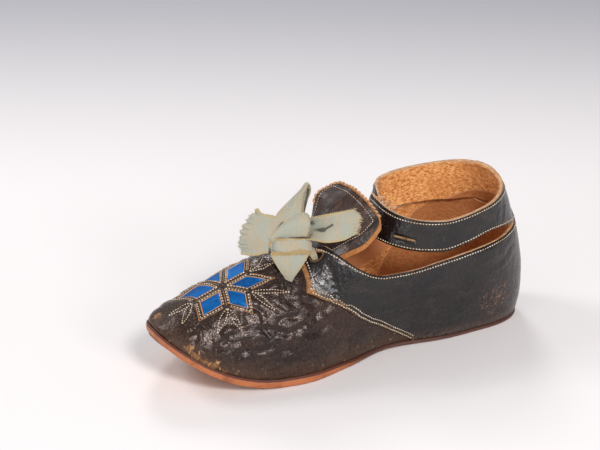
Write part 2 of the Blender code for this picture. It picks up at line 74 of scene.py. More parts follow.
# Floor and light: a pale table in soft studio light, with a wide lamp over the shoe and one
# behind each end of it, so that faint shadows fall to the front left and to the right.
class Socket:
    """A shader value that adds its Math nodes as it is reckoned with."""

    def __init__(self, finish, out):
        self.finish = finish
        self.out = out

    def math(self, operation, *others):
        return self.finish.node("ShaderNodeMath", {"operation": operation}, self, *others)

    def __add__(self, other):
        return self.math("ADD", other)

    def __sub__(self, other):
        return self.math("SUBTRACT", other)

    def __rsub__(self, other):
        return self.finish.node("ShaderNodeMath", {"operation": "SUBTRACT"}, other, self)

    def __mul__(self, other):
        return self.math("MULTIPLY", other)

    def __pow__(self, other):
        return self.math("POWER", other)

    def __abs__(self):
        return self.math("ABSOLUTE")

    __radd__ = __add__
    __rmul__ = __mul__

    def least(self, other):
        return self.math("MINIMUM", other)

    def most(self, other):
        return self.math("MAXIMUM", other)

    def wave(self):
        return self.math("SINE")

    def rise(self, low, high, bottom=0.0, top=1.0):
        """bottom below low, top above high, and smooth between; low may be the larger."""
        if low > high:
            low, high, bottom, top = high, low, top, bottom
        settings = {"interpolation_type": "SMOOTHSTEP"}
        return self.finish.node("ShaderNodeMapRange", settings, self, low, high, bottom, top)

    def band(self, middle, half, soft):
        """1 within half of middle, fading over soft."""
        return abs(self - middle).rise(half + soft, half)


class Finish:
    """A material made from one Principled shader."""

    def __init__(self, name):
        self.material = bpy.data.materials.new(name)
        self.material.use_nodes = True
        self.tree = self.material.node_tree
        self.shader = self.tree.nodes["Principled BSDF"]

    def feed(self, socket, value):
        """Links a value to a socket, or sets it there."""
        if isinstance(value, Socket):
            self.tree.links.new(value.out, socket)
        else:
            socket.default_value = (*value, 1.0) if socket.type == "RGBA" else value

    def node(self, kind, settings, *values, out=0, **named):
        """A node with its settings made first, then the values or links of its sockets."""
        made = self.tree.nodes.new(kind)
        for key, value in settings.items():
            setattr(made, key, value)
        for key, value in list(enumerate(values)) + [(k.replace("_", " "), v) for k, v in named.items()]:
            self.feed(made.inputs[key], value)
        return Socket(self, made.outputs[out])

    def spots(self, scale=(1.0, 1.0, 1.0), shift=(0.0, 0.0, 0.0)):
        """Object coordinates in millimetres."""
        coords = self.node("ShaderNodeTexCoord", {}, out="Object")
        return self.node("ShaderNodeMapping", {}, coords, Scale=[s / MM for s in scale], Location=shift)

    def parts(self, vector):
        split = self.node("ShaderNodeSeparateXYZ", {}, vector).out.node
        return [Socket(self, out) for out in split.outputs]

    def cut(self, name="cut"):
        """The three numbers that a piece's own attribute holds."""
        return self.parts(self.node("ShaderNodeAttribute", {"attribute_name": name}, out="Vector"))

    def noise(self, vector, scale, detail=3.0, rough=0.55, distortion=0.0):
        named = {"Scale": scale, "Detail": detail, "Roughness": rough, "Distortion": distortion}
        return self.node("ShaderNodeTexNoise", {}, Vector=vector, **named)

    def cells(self, vector, scale, feature="F1"):
        settings = {"feature": feature}
        return self.node("ShaderNodeTexVoronoi", settings, Vector=vector, Scale=scale, out="Distance")

    def vectors(self, operation, *values, out=0, **named):
        return self.node("ShaderNodeVectorMath", {"operation": operation}, *values, out=out, **named)

    def far(self, points, place):
        """How far points lie from a place."""
        return self.vectors("DISTANCE", points, place, out="Value")

    def beside(self, points, a, b):
        """How far points lie from the straight line between two places."""
        step = np.array(b) - np.array(a)
        moved = self.vectors("SUBTRACT", points, tuple(a))
        share = self.vectors("DOT_PRODUCT", moved, tuple(step / (step @ step)), out="Value")
        return self.far(moved, self.vectors("SCALE", tuple(step), Scale=share.least(1.0).most(0.0)))

    def mix(self, share, first, second):
        made = self.node("ShaderNodeMix", {"data_type": "RGBA"}, share, out=2)
        self.feed(made.out.node.inputs[6], first)
        self.feed(made.out.node.inputs[7], second)
        return made

    def layered(self, tone, *layers):
        """A tone with colours laid over it one after another, each by its share."""
        for share, colour in layers:
            tone = self.mix(share, tone, colour)
        return tone

    def bump(self, height, strength, distance):
        return self.node("ShaderNodeBump", {}, Strength=strength, Distance=distance * MM, Height=height)

    def coat(self, **named):
        """Feeds the shader's own sockets."""
        for key, value in named.items():
            self.feed(self.shader.inputs[key.replace("_", " ")], value)


def meshed(name, work):
    mesh = bpy.data.meshes.new(name)
    work.to_mesh(mesh)
    work.free()
    return mesh


FLOOR_COLOUR = (0.86, 0.835, 0.845)
FLOOR_FAR_COLOUR = (0.375, 0.378, 0.418)
floor_finish = Finish("pale table")
floor_x, floor_y, _ = floor_finish.parts(floor_finish.spots())
far_share = (floor_y * 0.9 + floor_x * 0.44).rise(110.0, 420.0)
floor_colour = floor_finish.mix(far_share, FLOOR_COLOUR, FLOOR_FAR_COLOUR)
floor_finish.coat(Base_Color=floor_colour, Roughness=0.95, Specular_IOR_Level=0.05)
work = bmesh.new()
bmesh.ops.create_grid(work, x_segments=2, y_segments=2, size=4.0)
floor_mesh = meshed("floor", work)
floor = bpy.data.objects.new("floor", floor_mesh)
floor_mesh.materials.append(floor_finish.material)
bpy.context.scene.collection.objects.link(floor)

# place, aim and size in metres; power in watts
LAMPS = {
    "key": ((-0.12, -0.80, 0.76), (-0.02, 0.0, 0.02), 0.26, 6.2),
    "back_left": ((-0.50, 0.50, 0.66), (0.0, 0.0, 0.02), 0.30, 2.3),
    "back": ((0.24, 0.74, 0.66), (0.0, 0.0, 0.02), 0.30, 2.9),
    "front": ((0.12, -0.95, 0.46), (0.02, 0.0, 0.04), 0.30, 2.2),
    "low_left": ((-0.80, -0.35, 0.20), (-0.05, 0.0, 0.0), 0.30, 1.0),
}
for name, (spot, aim, size, power) in LAMPS.items():
    lamp = bpy.data.objects.new("lamp_" + name, bpy.data.lights.new("lamp_" + name, "AREA"))
    lamp.data.shape = "DISK"
    lamp.data.size = size
    lamp.data.energy = power
    lamp.data.color = (1.0, 0.96, 0.93) if name == "key" else (1.0, 1.0, 1.0)
    lamp.location = spot
    lamp.rotation_mode = "QUATERNION"
    lamp.rotation_quaternion = (Vector(spot) - Vector(aim)).to_track_quat("Z", "Y")
    bpy.context.scene.collection.objects.link(lamp)
world = bpy.data.worlds.new("studio")
world.use_nodes = True
world.node_tree.nodes["Background"].inputs["Color"].default_value = (1.0, 0.985, 0.99, 1.0)
world.node_tree.nodes["Background"].inputs["Strength"].default_value = 0.36
bpy.context.scene.world = world
bpy.context.scene.view_settings.view_transform = "Standard"


# Outsole: a straight leather sole with no left or right, cut thick at the toe and ball and pared
# thin at the waist and heel. Its edge is rounded, with the rand's darker layer on top of it.
MIDDLE_X = 10.85
TOE_X = -84.6
HEEL_X = 61.4
LENGTH = HEEL_X - TOE_X
BALL_HALF = 25.5
TOE_SPRING = 18.4
SPRING_START_X = -45.0
SPRING_POWER = 1.8
ARCH = 0.5
SOLE_FRONT = 2.2
SOLE_BACK = 1.5
TOE_ROUND = 0.16
HEEL_ROUND = 0.14
END_POWER = 2.3
SOLE_TABLE = {
    "share": (0.0, 0.08, 0.20, 0.34, 0.46, 0.60, 0.76, 0.90, 1.0),
    "half": (0.74, 0.79, 0.895, 1.0, 0.84, 0.608, 0.682, 0.645, 0.65),
}
# The sole's section: how far in from its edge, as a share of the half width and in millimetres, how high,
# how much higher its lip stands at the toe and ball, and its tone from the edge's foot to the rand's top
SOLE_SECTION = {
    "share_in": (1.0, 0.66, 0.33, 0.1, 0, 0, 0, 0, 0, 0, 0, 0, 0, 0.06, 0.5, 1.0),
    "inset": (0, 0, 0, 0.6, 0.7, 0.25, 0.03, 0.0, 0.02, 0.10, 0.30, 0.20, 0.42, 0.9, 0, 0),
    "lift": (0, 0, 0, 0, 0.02, 0.12, 0.28, 0.45, 0.62, 0.74, 0.76, 0.86, 0.97, 1.0, 1.0, 1.0),
    "lip": (0, 0, 0, 0, 0, 0.02, 0.06, 0.16, 0.34, 0.52, 0.54, 0.62, 0.62, 0.30, 0, 0),
    "tone": (0, 0, 0, 0, 0.1, 0.2, 0.3, 0.4, 0.5, 0.6, 0.68, 0.8, 0.9, 1.0, 1.0, 1.0),
}
SOLE_SIDE = (0.40, 0.115, 0.036)
SOLE_RAND = (0.11, 0.028, 0.014)
SOLE_WAIST = (0.075, 0.030, 0.020)
SOLE_UNDER = (0.70, 0.30, 0.12)


def read(table, key, column, at):
    """A column of a table as a smooth curve that doesn't overshoot its rows."""
    x = np.array(table[key], float)
    y = np.array(table[column], float)
    h = np.diff(x)
    slope = np.diff(y) / h
    m = np.zeros(len(x))
    for i in range(1, len(x) - 1):
        if slope[i - 1] * slope[i] > 0.0:
            a = 2.0 * h[i] + h[i - 1]
            b = h[i] + 2.0 * h[i - 1]
            m[i] = (a + b) / (a / slope[i - 1] + b / slope[i])
    m[0] = slope[0]
    m[-1] = slope[-1]
    at = np.clip(at, x[0], x[-1])
    i = np.clip(np.searchsorted(x, at, side="right") - 1, 0, len(x) - 2)
    t = (at - x[i]) / h[i]
    start = (2 * t**3 - 3 * t**2 + 1) * y[i] + (t**3 - 2 * t**2 + t) * h[i] * m[i]
    return start + (3 * t**2 - 2 * t**3) * y[i + 1] + (t**3 - t**2) * h[i] * m[i + 1]


def ease(a, b, x):
    """0 below a, 1 above b, smooth between."""
    t = np.clip((x - a) / (b - a), 0.0, 1.0)
    return t * t * (3.0 - 2.0 * t)


def round_end(share, span, power):
    """Width factor that rounds off an end over a span."""
    t = np.clip(share / span, 0.0, 1.0)
    return (1.0 - (1.0 - t) ** power) ** (1.0 / power)


def spring(x):
    """Height of the sole's underside."""
    rise = np.maximum((SPRING_START_X - x) / (SPRING_START_X - TOE_X), 0.0)
    arch = np.sin(math.pi * np.clip((x + 20.0) / 52.0, 0.0, 1.0)) ** 2
    return TOE_SPRING * rise**SPRING_POWER + ARCH * arch


def sole_thickness(x):
    return SOLE_FRONT + (SOLE_BACK - SOLE_FRONT) * ease(-22.0, 6.0, x)


def side_normal(curve, angle):
    """Outward direction of a near-side plan curve that runs from toe to heel."""
    d = curve(np.minimum(angle + 1e-3, math.pi)) - curve(np.maximum(angle - 1e-3, 0.0))
    d /= np.linalg.norm(d, axis=-1, keepdims=True)
    n = np.stack((d[..., 1], -d[..., 0]), axis=-1)
    n[angle < 1e-6] = (-1.0, 0.0)
    n[angle > math.pi - 1e-6] = (1.0, 0.0)
    return n


def sole_edge(angle):
    """The near half of the sole's outline; angle 0 is the toe, pi the heel."""
    share = (1.0 - np.cos(angle)) / 2.0
    half = BALL_HALF * read(SOLE_TABLE, "share", "half", share)
    half = half * round_end(share, TOE_ROUND, END_POWER) * round_end(1.0 - share, HEEL_ROUND, END_POWER)
    return np.stack((TOE_X + LENGTH * share, -half), axis=-1)


def new_piece(name, mesh, *finishes):
    piece = bpy.data.objects.new(name, mesh)
    for finish in finishes:
        mesh.materials.append(finish)
    bpy.context.scene.collection.objects.link(piece)
    return piece


def points_of(mesh):
    co = np.zeros(len(mesh.vertices) * 3)
    mesh.vertices.foreach_get("co", co)
    return co.reshape(-1, 3)


def set_points(mesh, points):
    mesh.vertices.foreach_set("co", np.asarray(points, np.float32).ravel())
    mesh.update()


def set_numbers(mesh, name, *columns):
    """A point attribute of three numbers."""
    values = np.column_stack(columns).astype(np.float32)
    mesh.attributes.new(name, "FLOAT_VECTOR", "POINT").data.foreach_set("vector", values.ravel())


def get_numbers(mesh, name):
    data = mesh.attributes[name].data
    values = np.zeros(len(data) * 3, np.float32)
    data.foreach_get("vector", values)
    return values.reshape(-1, 3)


def spread_grid(name, across, along, shape):
    """A grid of squares whose points go where shape puts its shares across and along."""
    work = bmesh.new()
    bmesh.ops.create_grid(work, x_segments=across, y_segments=along, size=1.0)
    mesh = meshed(name, work)
    shares = np.round((points_of(mesh)[:, :2] + 1.0) / 2.0 * (across, along)) / (across, along)
    points, cut = shape(shares[:, 0], shares[:, 1])
    set_points(mesh, points)
    set_numbers(mesh, "cut", cut)
    return mesh


def in_place(mesh):
    """From millimetres in the last's frame to metres in the shoe's own."""
    mesh.transform(Matrix.Scale(MM, 4) @ Matrix.Translation((MIDDLE_X, 0.0, 0.0)))
    mesh.polygons.foreach_set("use_smooth", [True] * len(mesh.polygons))
    mesh.update()


def welded(mesh, near):
    """Joins the points that meet, and turns the faces outwards."""
    work = bmesh.new()
    work.from_mesh(mesh)
    bmesh.ops.remove_doubles(work, verts=work.verts, dist=near)
    bmesh.ops.recalc_face_normals(work, faces=work.faces)
    work.to_mesh(mesh)
    work.free()


def sole_shape(along, section):
    angle = math.pi * along
    row = {k: np.array(v, float) for k, v in SOLE_SECTION.items()}
    rows = len(row["lift"]) - 1
    at = section * rows
    share_in, inset, lift, lip, tone = (np.interp(at, np.arange(rows + 1), row[k]) for k in row)
    edge = sole_edge(angle)
    x = edge[:, 0]
    p = edge - side_normal(sole_edge, angle) * inset[:, None]
    y = np.minimum(p[:, 1], 0.0) * (1.0 - share_in)
    y[(angle < 1e-6) | (angle > math.pi - 1e-6)] = 0.0
    z = spring(x) + sole_thickness(x) * (lift + lip * (1.0 - ease(-36.0, -8.0, x)))
    return np.stack((p[:, 0], y, z), axis=-1), np.stack((x, tone, share_in), axis=-1)


sole_mesh = spread_grid("outsole_leather", 200, (len(SOLE_SECTION["lift"]) - 1) * 2, sole_shape)
work = bmesh.new()
work.from_mesh(sole_mesh)
geometry = work.verts[:] + work.edges[:] + work.faces[:]
bmesh.ops.mirror(work, geom=geometry, matrix=Matrix.Identity(4), merge_dist=0.0, axis="Y")
work.to_mesh(sole_mesh)
work.free()
welded(sole_mesh, 0.02)
in_place(sole_mesh)
sole_finish = Finish("sole leather")
sole_x, sole_lift, _ = sole_finish.cut()
sole_spots = sole_finish.spots()
fibre = sole_finish.noise(sole_finish.spots((0.12, 0.5, 3.0)), 1.0, 4.0, 0.6)
blotch = sole_finish.noise(sole_spots, 0.14, 3.0, 0.6)
scratch = sole_finish.noise(sole_finish.spots((0.06, 1.4, 1.0)), 1.0, 3.0, 0.7)
underneath = sole_lift.rise(0.1, 0.02)
edge_colour = sole_finish.layered(
    sole_finish.mix(fibre.rise(0.3, 0.7), SOLE_SIDE, (0.52, 0.17, 0.058)),
    (blotch.rise(0.45, 0.75) * 0.6, SOLE_RAND),
    ((sole_lift + (fibre - 0.5) * 0.16).rise(0.54, 0.62), SOLE_RAND),
    (sole_x.rise(-26.0, -6.0) * 0.92, SOLE_WAIST),
)
under_colour = sole_finish.layered(
    sole_finish.mix(blotch.rise(0.35, 0.7), SOLE_UNDER, (0.17, 0.09, 0.05)),
    (scratch.rise(0.58, 0.72) * 0.6, (0.09, 0.05, 0.032)),
)
sole_colour = sole_finish.layered(
    edge_colour,
    (underneath, under_colour),
    (sole_lift.band(0.665, 0.012, 0.02) * 0.8, (0.03, 0.012, 0.008)),
)
sole_bump = sole_finish.bump(fibre * 0.6 + scratch * underneath + blotch, 0.5, 0.25)
sole_rough = fibre.rise(0.2, 0.8, 0.38, 0.6) + underneath * 0.25
sole_finish.coat(Base_Color=sole_colour, Roughness=sole_rough, Normal=sole_bump)
outsole = new_piece("outsole_leather", sole_mesh, sole_finish.material)
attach(outsole, "root")
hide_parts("outsole")


# Insole: a thin sock of tan leather lies on the sole inside the shoe, darkened where the foot was.
# Only its waist and heel are seen, through the openings.
INSOLE_TAN = (0.36, 0.17, 0.072)
INSOLE_WORN = (0.17, 0.076, 0.034)
sock_finish = Finish("insole leather")
sock_spots = sock_finish.spots()
sock_stain = sock_finish.noise(sock_spots, 0.09, 4.0, 0.6)
sock_grain = sock_finish.cells(sock_spots, 2.2)
sock_colour = sock_finish.mix(sock_stain.rise(0.4, 0.65), INSOLE_TAN, INSOLE_WORN)
sock_bump = sock_finish.bump(sock_grain * 0.4 + sock_stain, 0.4, 0.2)
sock_finish.coat(Base_Color=sock_colour, Roughness=sock_stain.rise(0.3, 0.7, 0.75, 0.5), Normal=sock_bump)
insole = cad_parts["insole"]
insole.data.materials.clear()
insole.data.materials.append(sock_finish.material)


# Vamp: one piece of black-brown goatskin drawn over the last's forepart, creased where the foot
# bent, with a six-petal star cut out of it, backed in blue and stitched round.
GAP = 0.3
VAMP_WALL = 1.3
QUARTER_WALL = 2.0
STRAP_WALL = 1.6
EDGE_FRONT = 1.0
EDGE_BACK = 0.25
TOP_TOE_X = -81.0
TOP_HEEL_X = 57.6
TAB_X = -29.5
SEAM_END_X = 11.5
SEAM_CORNER = 0.57
SEAM_BOW = 1.9
HEEL_TOP_ROUND = 27.0
RING_FRONT_X = 6.8
RING_BACK_X = 51.4
RING_HALF = 20.9
FAR_RISE = 3.0
FAR_FLARE = 1.6
FAR_SAG = 1.6
FAR_TUCK = 1.7
LAST_TABLE = {
    "x": (-81, -76, -68, -57, -46, -36, -29.5, -25, -20.5, -17, -12.5, -8, -3, 8, 22, 38, 50, 57.6),
    "z": (22.8, 25.5, 28.8, 33.6, 37.2, 39.8, 41, 41.6, 43.4, 41.2, 37.6, 35, 33.5, 33.3, 34.6, 36.6, 37.6, 38.4),
    "side": (0, 0, 0, 0, 0, 0, 0, 4.2, 8.6, 13.2, 16.8, 18.4, 19, 19.3, 19.4, 19.4, 19.4, 19.4),
    "out": (0.6, 0.8, 1, 1.4, 1.6, 1.6, 1.6, 1.6, 1.6, 1.6, 1.6, 1.6, 1.8, 2.4, 2.8, 3.2, 3.5, 3.7),
    "rise": (1.8, 4.6, 8, 12.5, 15.5, 17, 18, 18, 17.5, 17, 15, 13.5, 12.5, 12, 12, 12, 12, 12),
    "spread": (3, 11, 14.5, 16, 16, 15, 13, 10.5, 8, 5.5, 3.6, 2.4, 1.4, 0.8, 0.8, 1.3, 1.9, 2.4),
    "drop": (0, 0, 0.3, 0.6, 1, 1.6, 2.4, 4, 6, 8, 9.5, 10.5, 11, 11, 11, 11, 11, 11),
}
VAMP_LAP = 0.009


def plan_of(angle, first, last):
    return first + (last - first) * (1.0 - np.cos(angle)) / 2.0


def angle_at(x, first, last):
    return np.arccos(1.0 - 2.0 * np.clip((x - first) / (last - first), 0.0, 1.0))


def foot_edge(angle):
    """Lower edge of the lining, just above the sole and inside the wall."""
    edge = sole_edge(angle)
    x = edge[:, 0]
    inset = EDGE_FRONT + (EDGE_BACK - EDGE_FRONT) * ease(-22.0, 6.0, x)
    inset += VAMP_WALL + (QUARTER_WALL - VAMP_WALL) * ease(0.0, 16.0, x)
    p = edge - side_normal(sole_edge, angle) * inset[:, None]
    p[(angle < 1e-6) | (angle > math.pi - 1e-6), 1] = 0.0
    return np.column_stack((p, spring(x) + sole_thickness(x) + GAP))


def far_part(x, fade):
    """1 along the far side slit, 0 at the tab and at the heel."""
    fading = RING_BACK_X - fade
    return ease(TAB_X + 16.0, RING_FRONT_X, x) * (1.0 - ease(fading, fading + 13.0, x))


def top_plan(angle, far):
    x = plan_of(angle, TOP_TOE_X, TOP_HEEL_X)
    side = read(LAST_TABLE, "x", "side", x) + far * FAR_FLARE * far_part(x, 15.0)
    side = side * round_end(TOP_HEEL_X - x, HEEL_TOP_ROUND, 2.2)
    return np.stack((x, -side), axis=-1)


def last_point(angle, girth, far):
    """The near half of the lining, from girth 0 at the sole to 1 at the top line.

    far is 1 for the other half, which is not yet mirrored.
    """
    foot = foot_edge(angle)
    plan = top_plan(angle, far)
    x = plan[:, 0]
    z = read(LAST_TABLE, "x", "z", x)
    top = np.column_stack((plan, z + far * FAR_RISE * far_part(x, 22.0)))
    out, rise, spread, drop = (read(LAST_TABLE, "x", k, x) for k in ("out", "rise", "spread", "drop"))
    foot_out = side_normal(sole_edge, angle)
    across = foot[:, :2] - top[:, :2]
    reach = np.linalg.norm(across, axis=1)
    across = np.where(reach[:, None] > 1e-6, across / np.maximum(reach, 1e-6)[:, None], foot_out)
    back_share = ease(24.0, 44.0, x)[:, None]
    toe_slope = np.where(x < -70.0, read(LAST_TABLE, "x", "z", x + 1.0) - z, 0.0)
    spread = np.where(x < -20.0, np.minimum(spread, 0.62 * reach), spread)
    top_out = across * (1.0 - back_share) + side_normal(lambda a: top_plan(a, far), angle) * back_share
    lateral = np.where(x > -29.4, ease(-29.4, -15.0, x), 0.0)[:, None] * (1.0 - back_share)
    top_out = top_out * (1.0 - lateral) + np.array((0.0, -1.0)) * lateral
    top_out = top_out / np.linalg.norm(top_out, axis=1, keepdims=True)
    b = foot + np.column_stack((foot_out * out[:, None], rise))
    c = top + np.column_stack((top_out * spread[:, None], top_out[:, 0] * spread * toe_slope - drop))
    t = girth[:, None]
    return (1 - t) ** 3 * foot + 3 * (1 - t) ** 2 * t * b + 3 * (1 - t) * t**2 * c + t**3 * top


def wall_height(girth):
    """Height of the wall at a girth, as a share of its full height."""
    return 3 * (1 - girth) ** 2 * girth * 0.46 + 3 * (1 - girth) * girth**2 * 0.93 + girth**3


# The seam is drawn straight to the eye, by shares of the last's length toeward or heelward
SEAM_GIRTHS = (0.0, 0.05, 0.1, 0.15, 0.2, 0.25, 0.3, 0.35, 0.4, 0.45, 0.5, 0.57, 0.65)
SEAM_SHIFTS = (
    0.0, -0.013, -0.0205, -0.021, -0.0175, -0.01, 0.0, 0.006, 0.005, -0.007, -0.016, -0.011, -0.001,
)


def column_angle(column, girth):
    """Columns lean so that one of them follows the quarter's front edge down to the sole."""
    top_tab = angle_at(TAB_X, TOP_TOE_X, TOP_HEEL_X)
    foot_tab = angle_at(SEAM_END_X, TOE_X, HEEL_X)
    front = column < 0.5
    step = (column - 0.5) / 0.5
    high = np.where(front, top_tab * column / 0.5, top_tab + (math.pi - top_tab) * step)
    low = np.where(front, foot_tab * column / 0.5, foot_tab + (math.pi - foot_tab) * step)
    lean = 1.0 - np.minimum(wall_height(girth) / wall_height(SEAM_CORNER), 1.0) ** SEAM_BOW
    share = (1.0 - np.cos(high)) * (1.0 - lean) / 2.0 + (1.0 - np.cos(low)) * lean / 2.0
    nearby = np.clip(1.0 - np.abs(column - 0.5) / 0.3, 0.0, 1.0)
    share = share + np.interp(girth, SEAM_GIRTHS, SEAM_SHIFTS) * nearby
    return np.arccos(1.0 - 2.0 * np.clip(share, 0.0, 1.0))


def mirrored(points, far):
    """Near points, with those of the far half sent across."""
    flip = np.ones((len(points), 3))
    flip[:, 1] = np.where(far > 0.5, -1.0, 1.0)
    return points * flip


def run_along(path):
    """How far along a path each of its points lies."""
    return np.concatenate(((0.0,), np.cumsum(np.linalg.norm(np.diff(path, axis=0), axis=1))))


# How far a point on the vamp is from the toe along the middle line, and from that line across
ARC_ROWS = 60
ARC_ANGLES = np.linspace(0.0, angle_at(10.0, TOP_TOE_X, TOP_HEEL_X), ARC_ROWS)
ARC_GIRTHS = np.linspace(0.0, 1.0, ARC_ROWS)
arc_grid = np.array([last_point(np.full(ARC_ROWS, a), ARC_GIRTHS, 0.0) for a in ARC_ANGLES])
arc_steps = np.linalg.norm(np.diff(arc_grid, axis=1), axis=2)
arc_down = np.concatenate((np.zeros((ARC_ROWS, 1)), np.cumsum(arc_steps[:, ::-1], axis=1)), axis=1)[:, ::-1]
arc_along = run_along(arc_grid[:, -1])


def table_at(grid, i, j):
    """Reads a grid of numbers between its rows and columns."""
    i0 = np.clip(i.astype(int), 0, grid.shape[0] - 2)
    j0 = np.clip(j.astype(int), 0, grid.shape[1] - 2)
    s = i - i0
    t = j - j0
    first = grid[i0, j0] * (1 - s) + grid[i0 + 1, j0] * s
    second = grid[i0, j0 + 1] * (1 - s) + grid[i0 + 1, j0 + 1] * s
    return first * (1 - t) + second * t


def vamp_shape(across, along):
    far = (across > 0.5).astype(float)
    girth = 1.0 - np.abs(2.0 * across - 1.0)
    column = along * (0.5 + VAMP_LAP)
    angle = column_angle(column, girth)
    points = last_point(angle, girth, far)
    points[(along == 0.0) | ((girth == 1.0) & (column <= 0.5)), 1] = 0.0
    i = angle / ARC_ANGLES[-1] * (ARC_ROWS - 1)
    down = table_at(arc_down, i, girth * (ARC_ROWS - 1)) * np.where(far > 0.5, 1.0, -1.0)
    ahead = np.interp(angle, ARC_ANGLES, arc_along)
    return mirrored(points, far), np.column_stack((ahead, down, column))


def normals_of(mesh):
    n = np.zeros(len(mesh.vertices) * 3)
    mesh.vertex_normals.foreach_get("vector", n)
    return n.reshape(-1, 3)


def path_distance(points, path):
    """Distance from each point to a path, and how far along it that is, as a share."""
    path = np.array(path, float)
    steps = np.linalg.norm(np.diff(path, axis=0), axis=1)
    begin = np.concatenate(((0.0,), np.cumsum(steps)))
    best = np.full(len(points), 1e9)
    share = np.zeros(len(points))
    for a, b, start, step in zip(path, path[1:], begin, steps):
        t = np.clip((points - a) @ (b - a) / step**2, 0.0, 1.0)
        d = np.linalg.norm(points - a - t[:, None] * (b - a), axis=1)
        nearer = d < best
        best[nearer] = d[nearer]
        share[nearer] = (start + t[nearer] * step) / begin[-1]
    return best, share


def creased(points, creases):
    """How far soft troughs, each with a low ridge beside it, lift the leather."""
    lift = np.zeros(len(points))
    for path, depth, width in creases:
        d, share = path_distance(points, path)
        fade = np.sin(math.pi * np.clip(share, 0.02, 0.98)) ** 0.6
        trough = np.exp(-((d / width) ** 2))
        ridge = np.exp(-(((d - 2.0 * width) / width) ** 2))
        lift -= depth * fade * (trough - 0.5 * ridge)
    return lift


# path of the crease on the near side, its depth and its width; the far side has the same, fainter
VAMP_CREASES = (
    (
        ((-20, -19, 28), (-32.8, -21.2, 22.4), (-41.5, -21.8, 19.6), (-47.9, -19.6, 22.1), (-56, -17.9, 22.7)),
        0.50, 1.1,
    ),
    (((-56, -17.9, 22.7), (-62.3, -17.5, 21.4), (-66.4, -17.9, 19), (-69.1, -18.3, 16.3)), 0.38, 1.0),
    (((-41.5, -21.8, 19.6), (-42.2, -23.2, 14.3), (-49.4, -22.5, 11.6), (-56.9, -21.6, 9.9)), 0.32, 1.3),
    (((-56, -18, 21), (-57.1, -20.2, 16.9), (-60.8, -20.5, 13.9)), 0.30, 1.0),
    (((-78, -9, 24), (-75.9, -11.9, 22.9), (-72.5, -12, 24.2), (-70.1, -10.9, 26.1)), 0.26, 0.9),
    (((-71, -12.5, 25), (-71.8, -14.4, 21.6), (-73.3, -16.2, 18.2), (-71.5, -18, 14.5)), -0.30, 0.6),
    (((-37.9, -17.6, 28.9), (-30, -18.6, 29.3), (-19.9, -19.6, 29)), 0.36, 1.2),
    (((-50, -13, 33), (-45, -16, 29), (-40, -19.5, 24.5)), 0.26, 1.0),
    (((-34, -13, 35.5), (-38, -17, 29), (-39, -21, 22.5)), 0.24, 1.1),
    (((-62, -14, 26), (-58, -16.5, 25), (-52, -17.5, 26)), 0.22, 0.8),
)


def leather_folds(points, size, seed, stretch=(1.0, 1.0, 1.0)):
    """Rounded lumps with narrow valleys between them."""
    return 1.0 - 1.6 * np.exp(-((leather_lumps(points * stretch, size, seed) * 2.4) ** 2))


def leather_lumps(points, size, seed):
    """A soft uneven surface from a few crossed waves."""
    rng = np.random.default_rng(seed)
    lift = np.zeros(len(points))
    for _ in range(9):
        direction = rng.normal(size=3)
        direction /= np.linalg.norm(direction)
        pitch = 2.0 * math.pi / (size * rng.uniform(0.7, 1.6))
        lift += np.sin(points @ direction * pitch + rng.uniform(0.0, 6.28))
    return lift / 4.0


def tree_of(mesh):
    return BVHTree.FromPolygons([v.co[:] for v in mesh.vertices], [p.vertices[:] for p in mesh.polygons])


def above_sole(points):
    return points[:, 2] - spring(points[:, 0]) - sole_thickness(points[:, 0]) - GAP


def wall_normals(mesh, middle):
    """Turns a lining's faces away from its middle, and keeps its lower edge level as it is padded out."""
    welded(mesh, 0.004)
    points = points_of(mesh)
    normals = normals_of(mesh)
    if ((points - np.array(middle)) * normals).sum() < 0.0:
        mesh.flip_normals()
        normals = -normals
    normals[:, 2] *= ease(0.0, 1.5, above_sole(points))
    ends = np.array([edge.vertices[:] for edge in mesh.edges])
    for _ in range(5):
        summed = normals.copy()
        np.add.at(summed, ends[:, 0], normals[ends[:, 1]])
        np.add.at(summed, ends[:, 1], normals[ends[:, 0]])
        normals = summed / np.linalg.norm(summed, axis=1, keepdims=True)
    return points, normals


vamp_mesh = spread_grid("vamp", 230, 160, vamp_shape)
lining, outward = wall_normals(vamp_mesh, (-40.0, 0.0, 12.0))
vamp_cut = get_numbers(vamp_mesh, "cut")

# The star: where its middle and the ends of its six spokes lie, in order round from the heelward one
STAR_MIDDLE = (-58.7, -3.7, 33.9)
STAR_ENDS = (
    (-48.1, -3.9, 37.2), (-52.6, 7.4, 34.2), (-63.7, 8.4, 30.4),
    (-69.4, -2.7, 29.5), (-60.2, -11.4, 29.6), (-50.6, -10.2, 33.4),
)
STAR_REACH = 10.0
PETAL_LOW = 1.55
PETAL_HIGH = 7.75
LEAF_HALF = 0.85
# Ends of the two leaves beyond each spoke
LEAF_ENDS = (
    ((17.6, 3.5), (18.4, -1.5)),
    ((11.0, 12.3), (4.6, 19.5)),
    ((-6.4, 19.5), (-13.4, 15.6)),
    ((-18.4, 0.6), (-18.6, -6.2)),
    ((-13.4, -15.6), (-6.8, -20.0)),
    ((6.4, -20.6), (14.5, -17.0)),
)


def nearest_row(table, points, values):
    """The values of the rows of a table that lie nearest to some points."""
    return np.array([values[np.argmin(((table - p) ** 2).sum(axis=1))] for p in np.array(points, float)])


flat_cut = vamp_cut[:, :2].astype(float)
star_middle = nearest_row(lining, (STAR_MIDDLE,), flat_cut)[0]
star_spokes = nearest_row(lining, STAR_ENDS, flat_cut) - star_middle
STAR_TURNS = [math.radians(60 * k) for k in range(6)]
STAR_TRUE = np.array([(math.cos(a), math.sin(a)) for a in STAR_TURNS]) * STAR_REACH


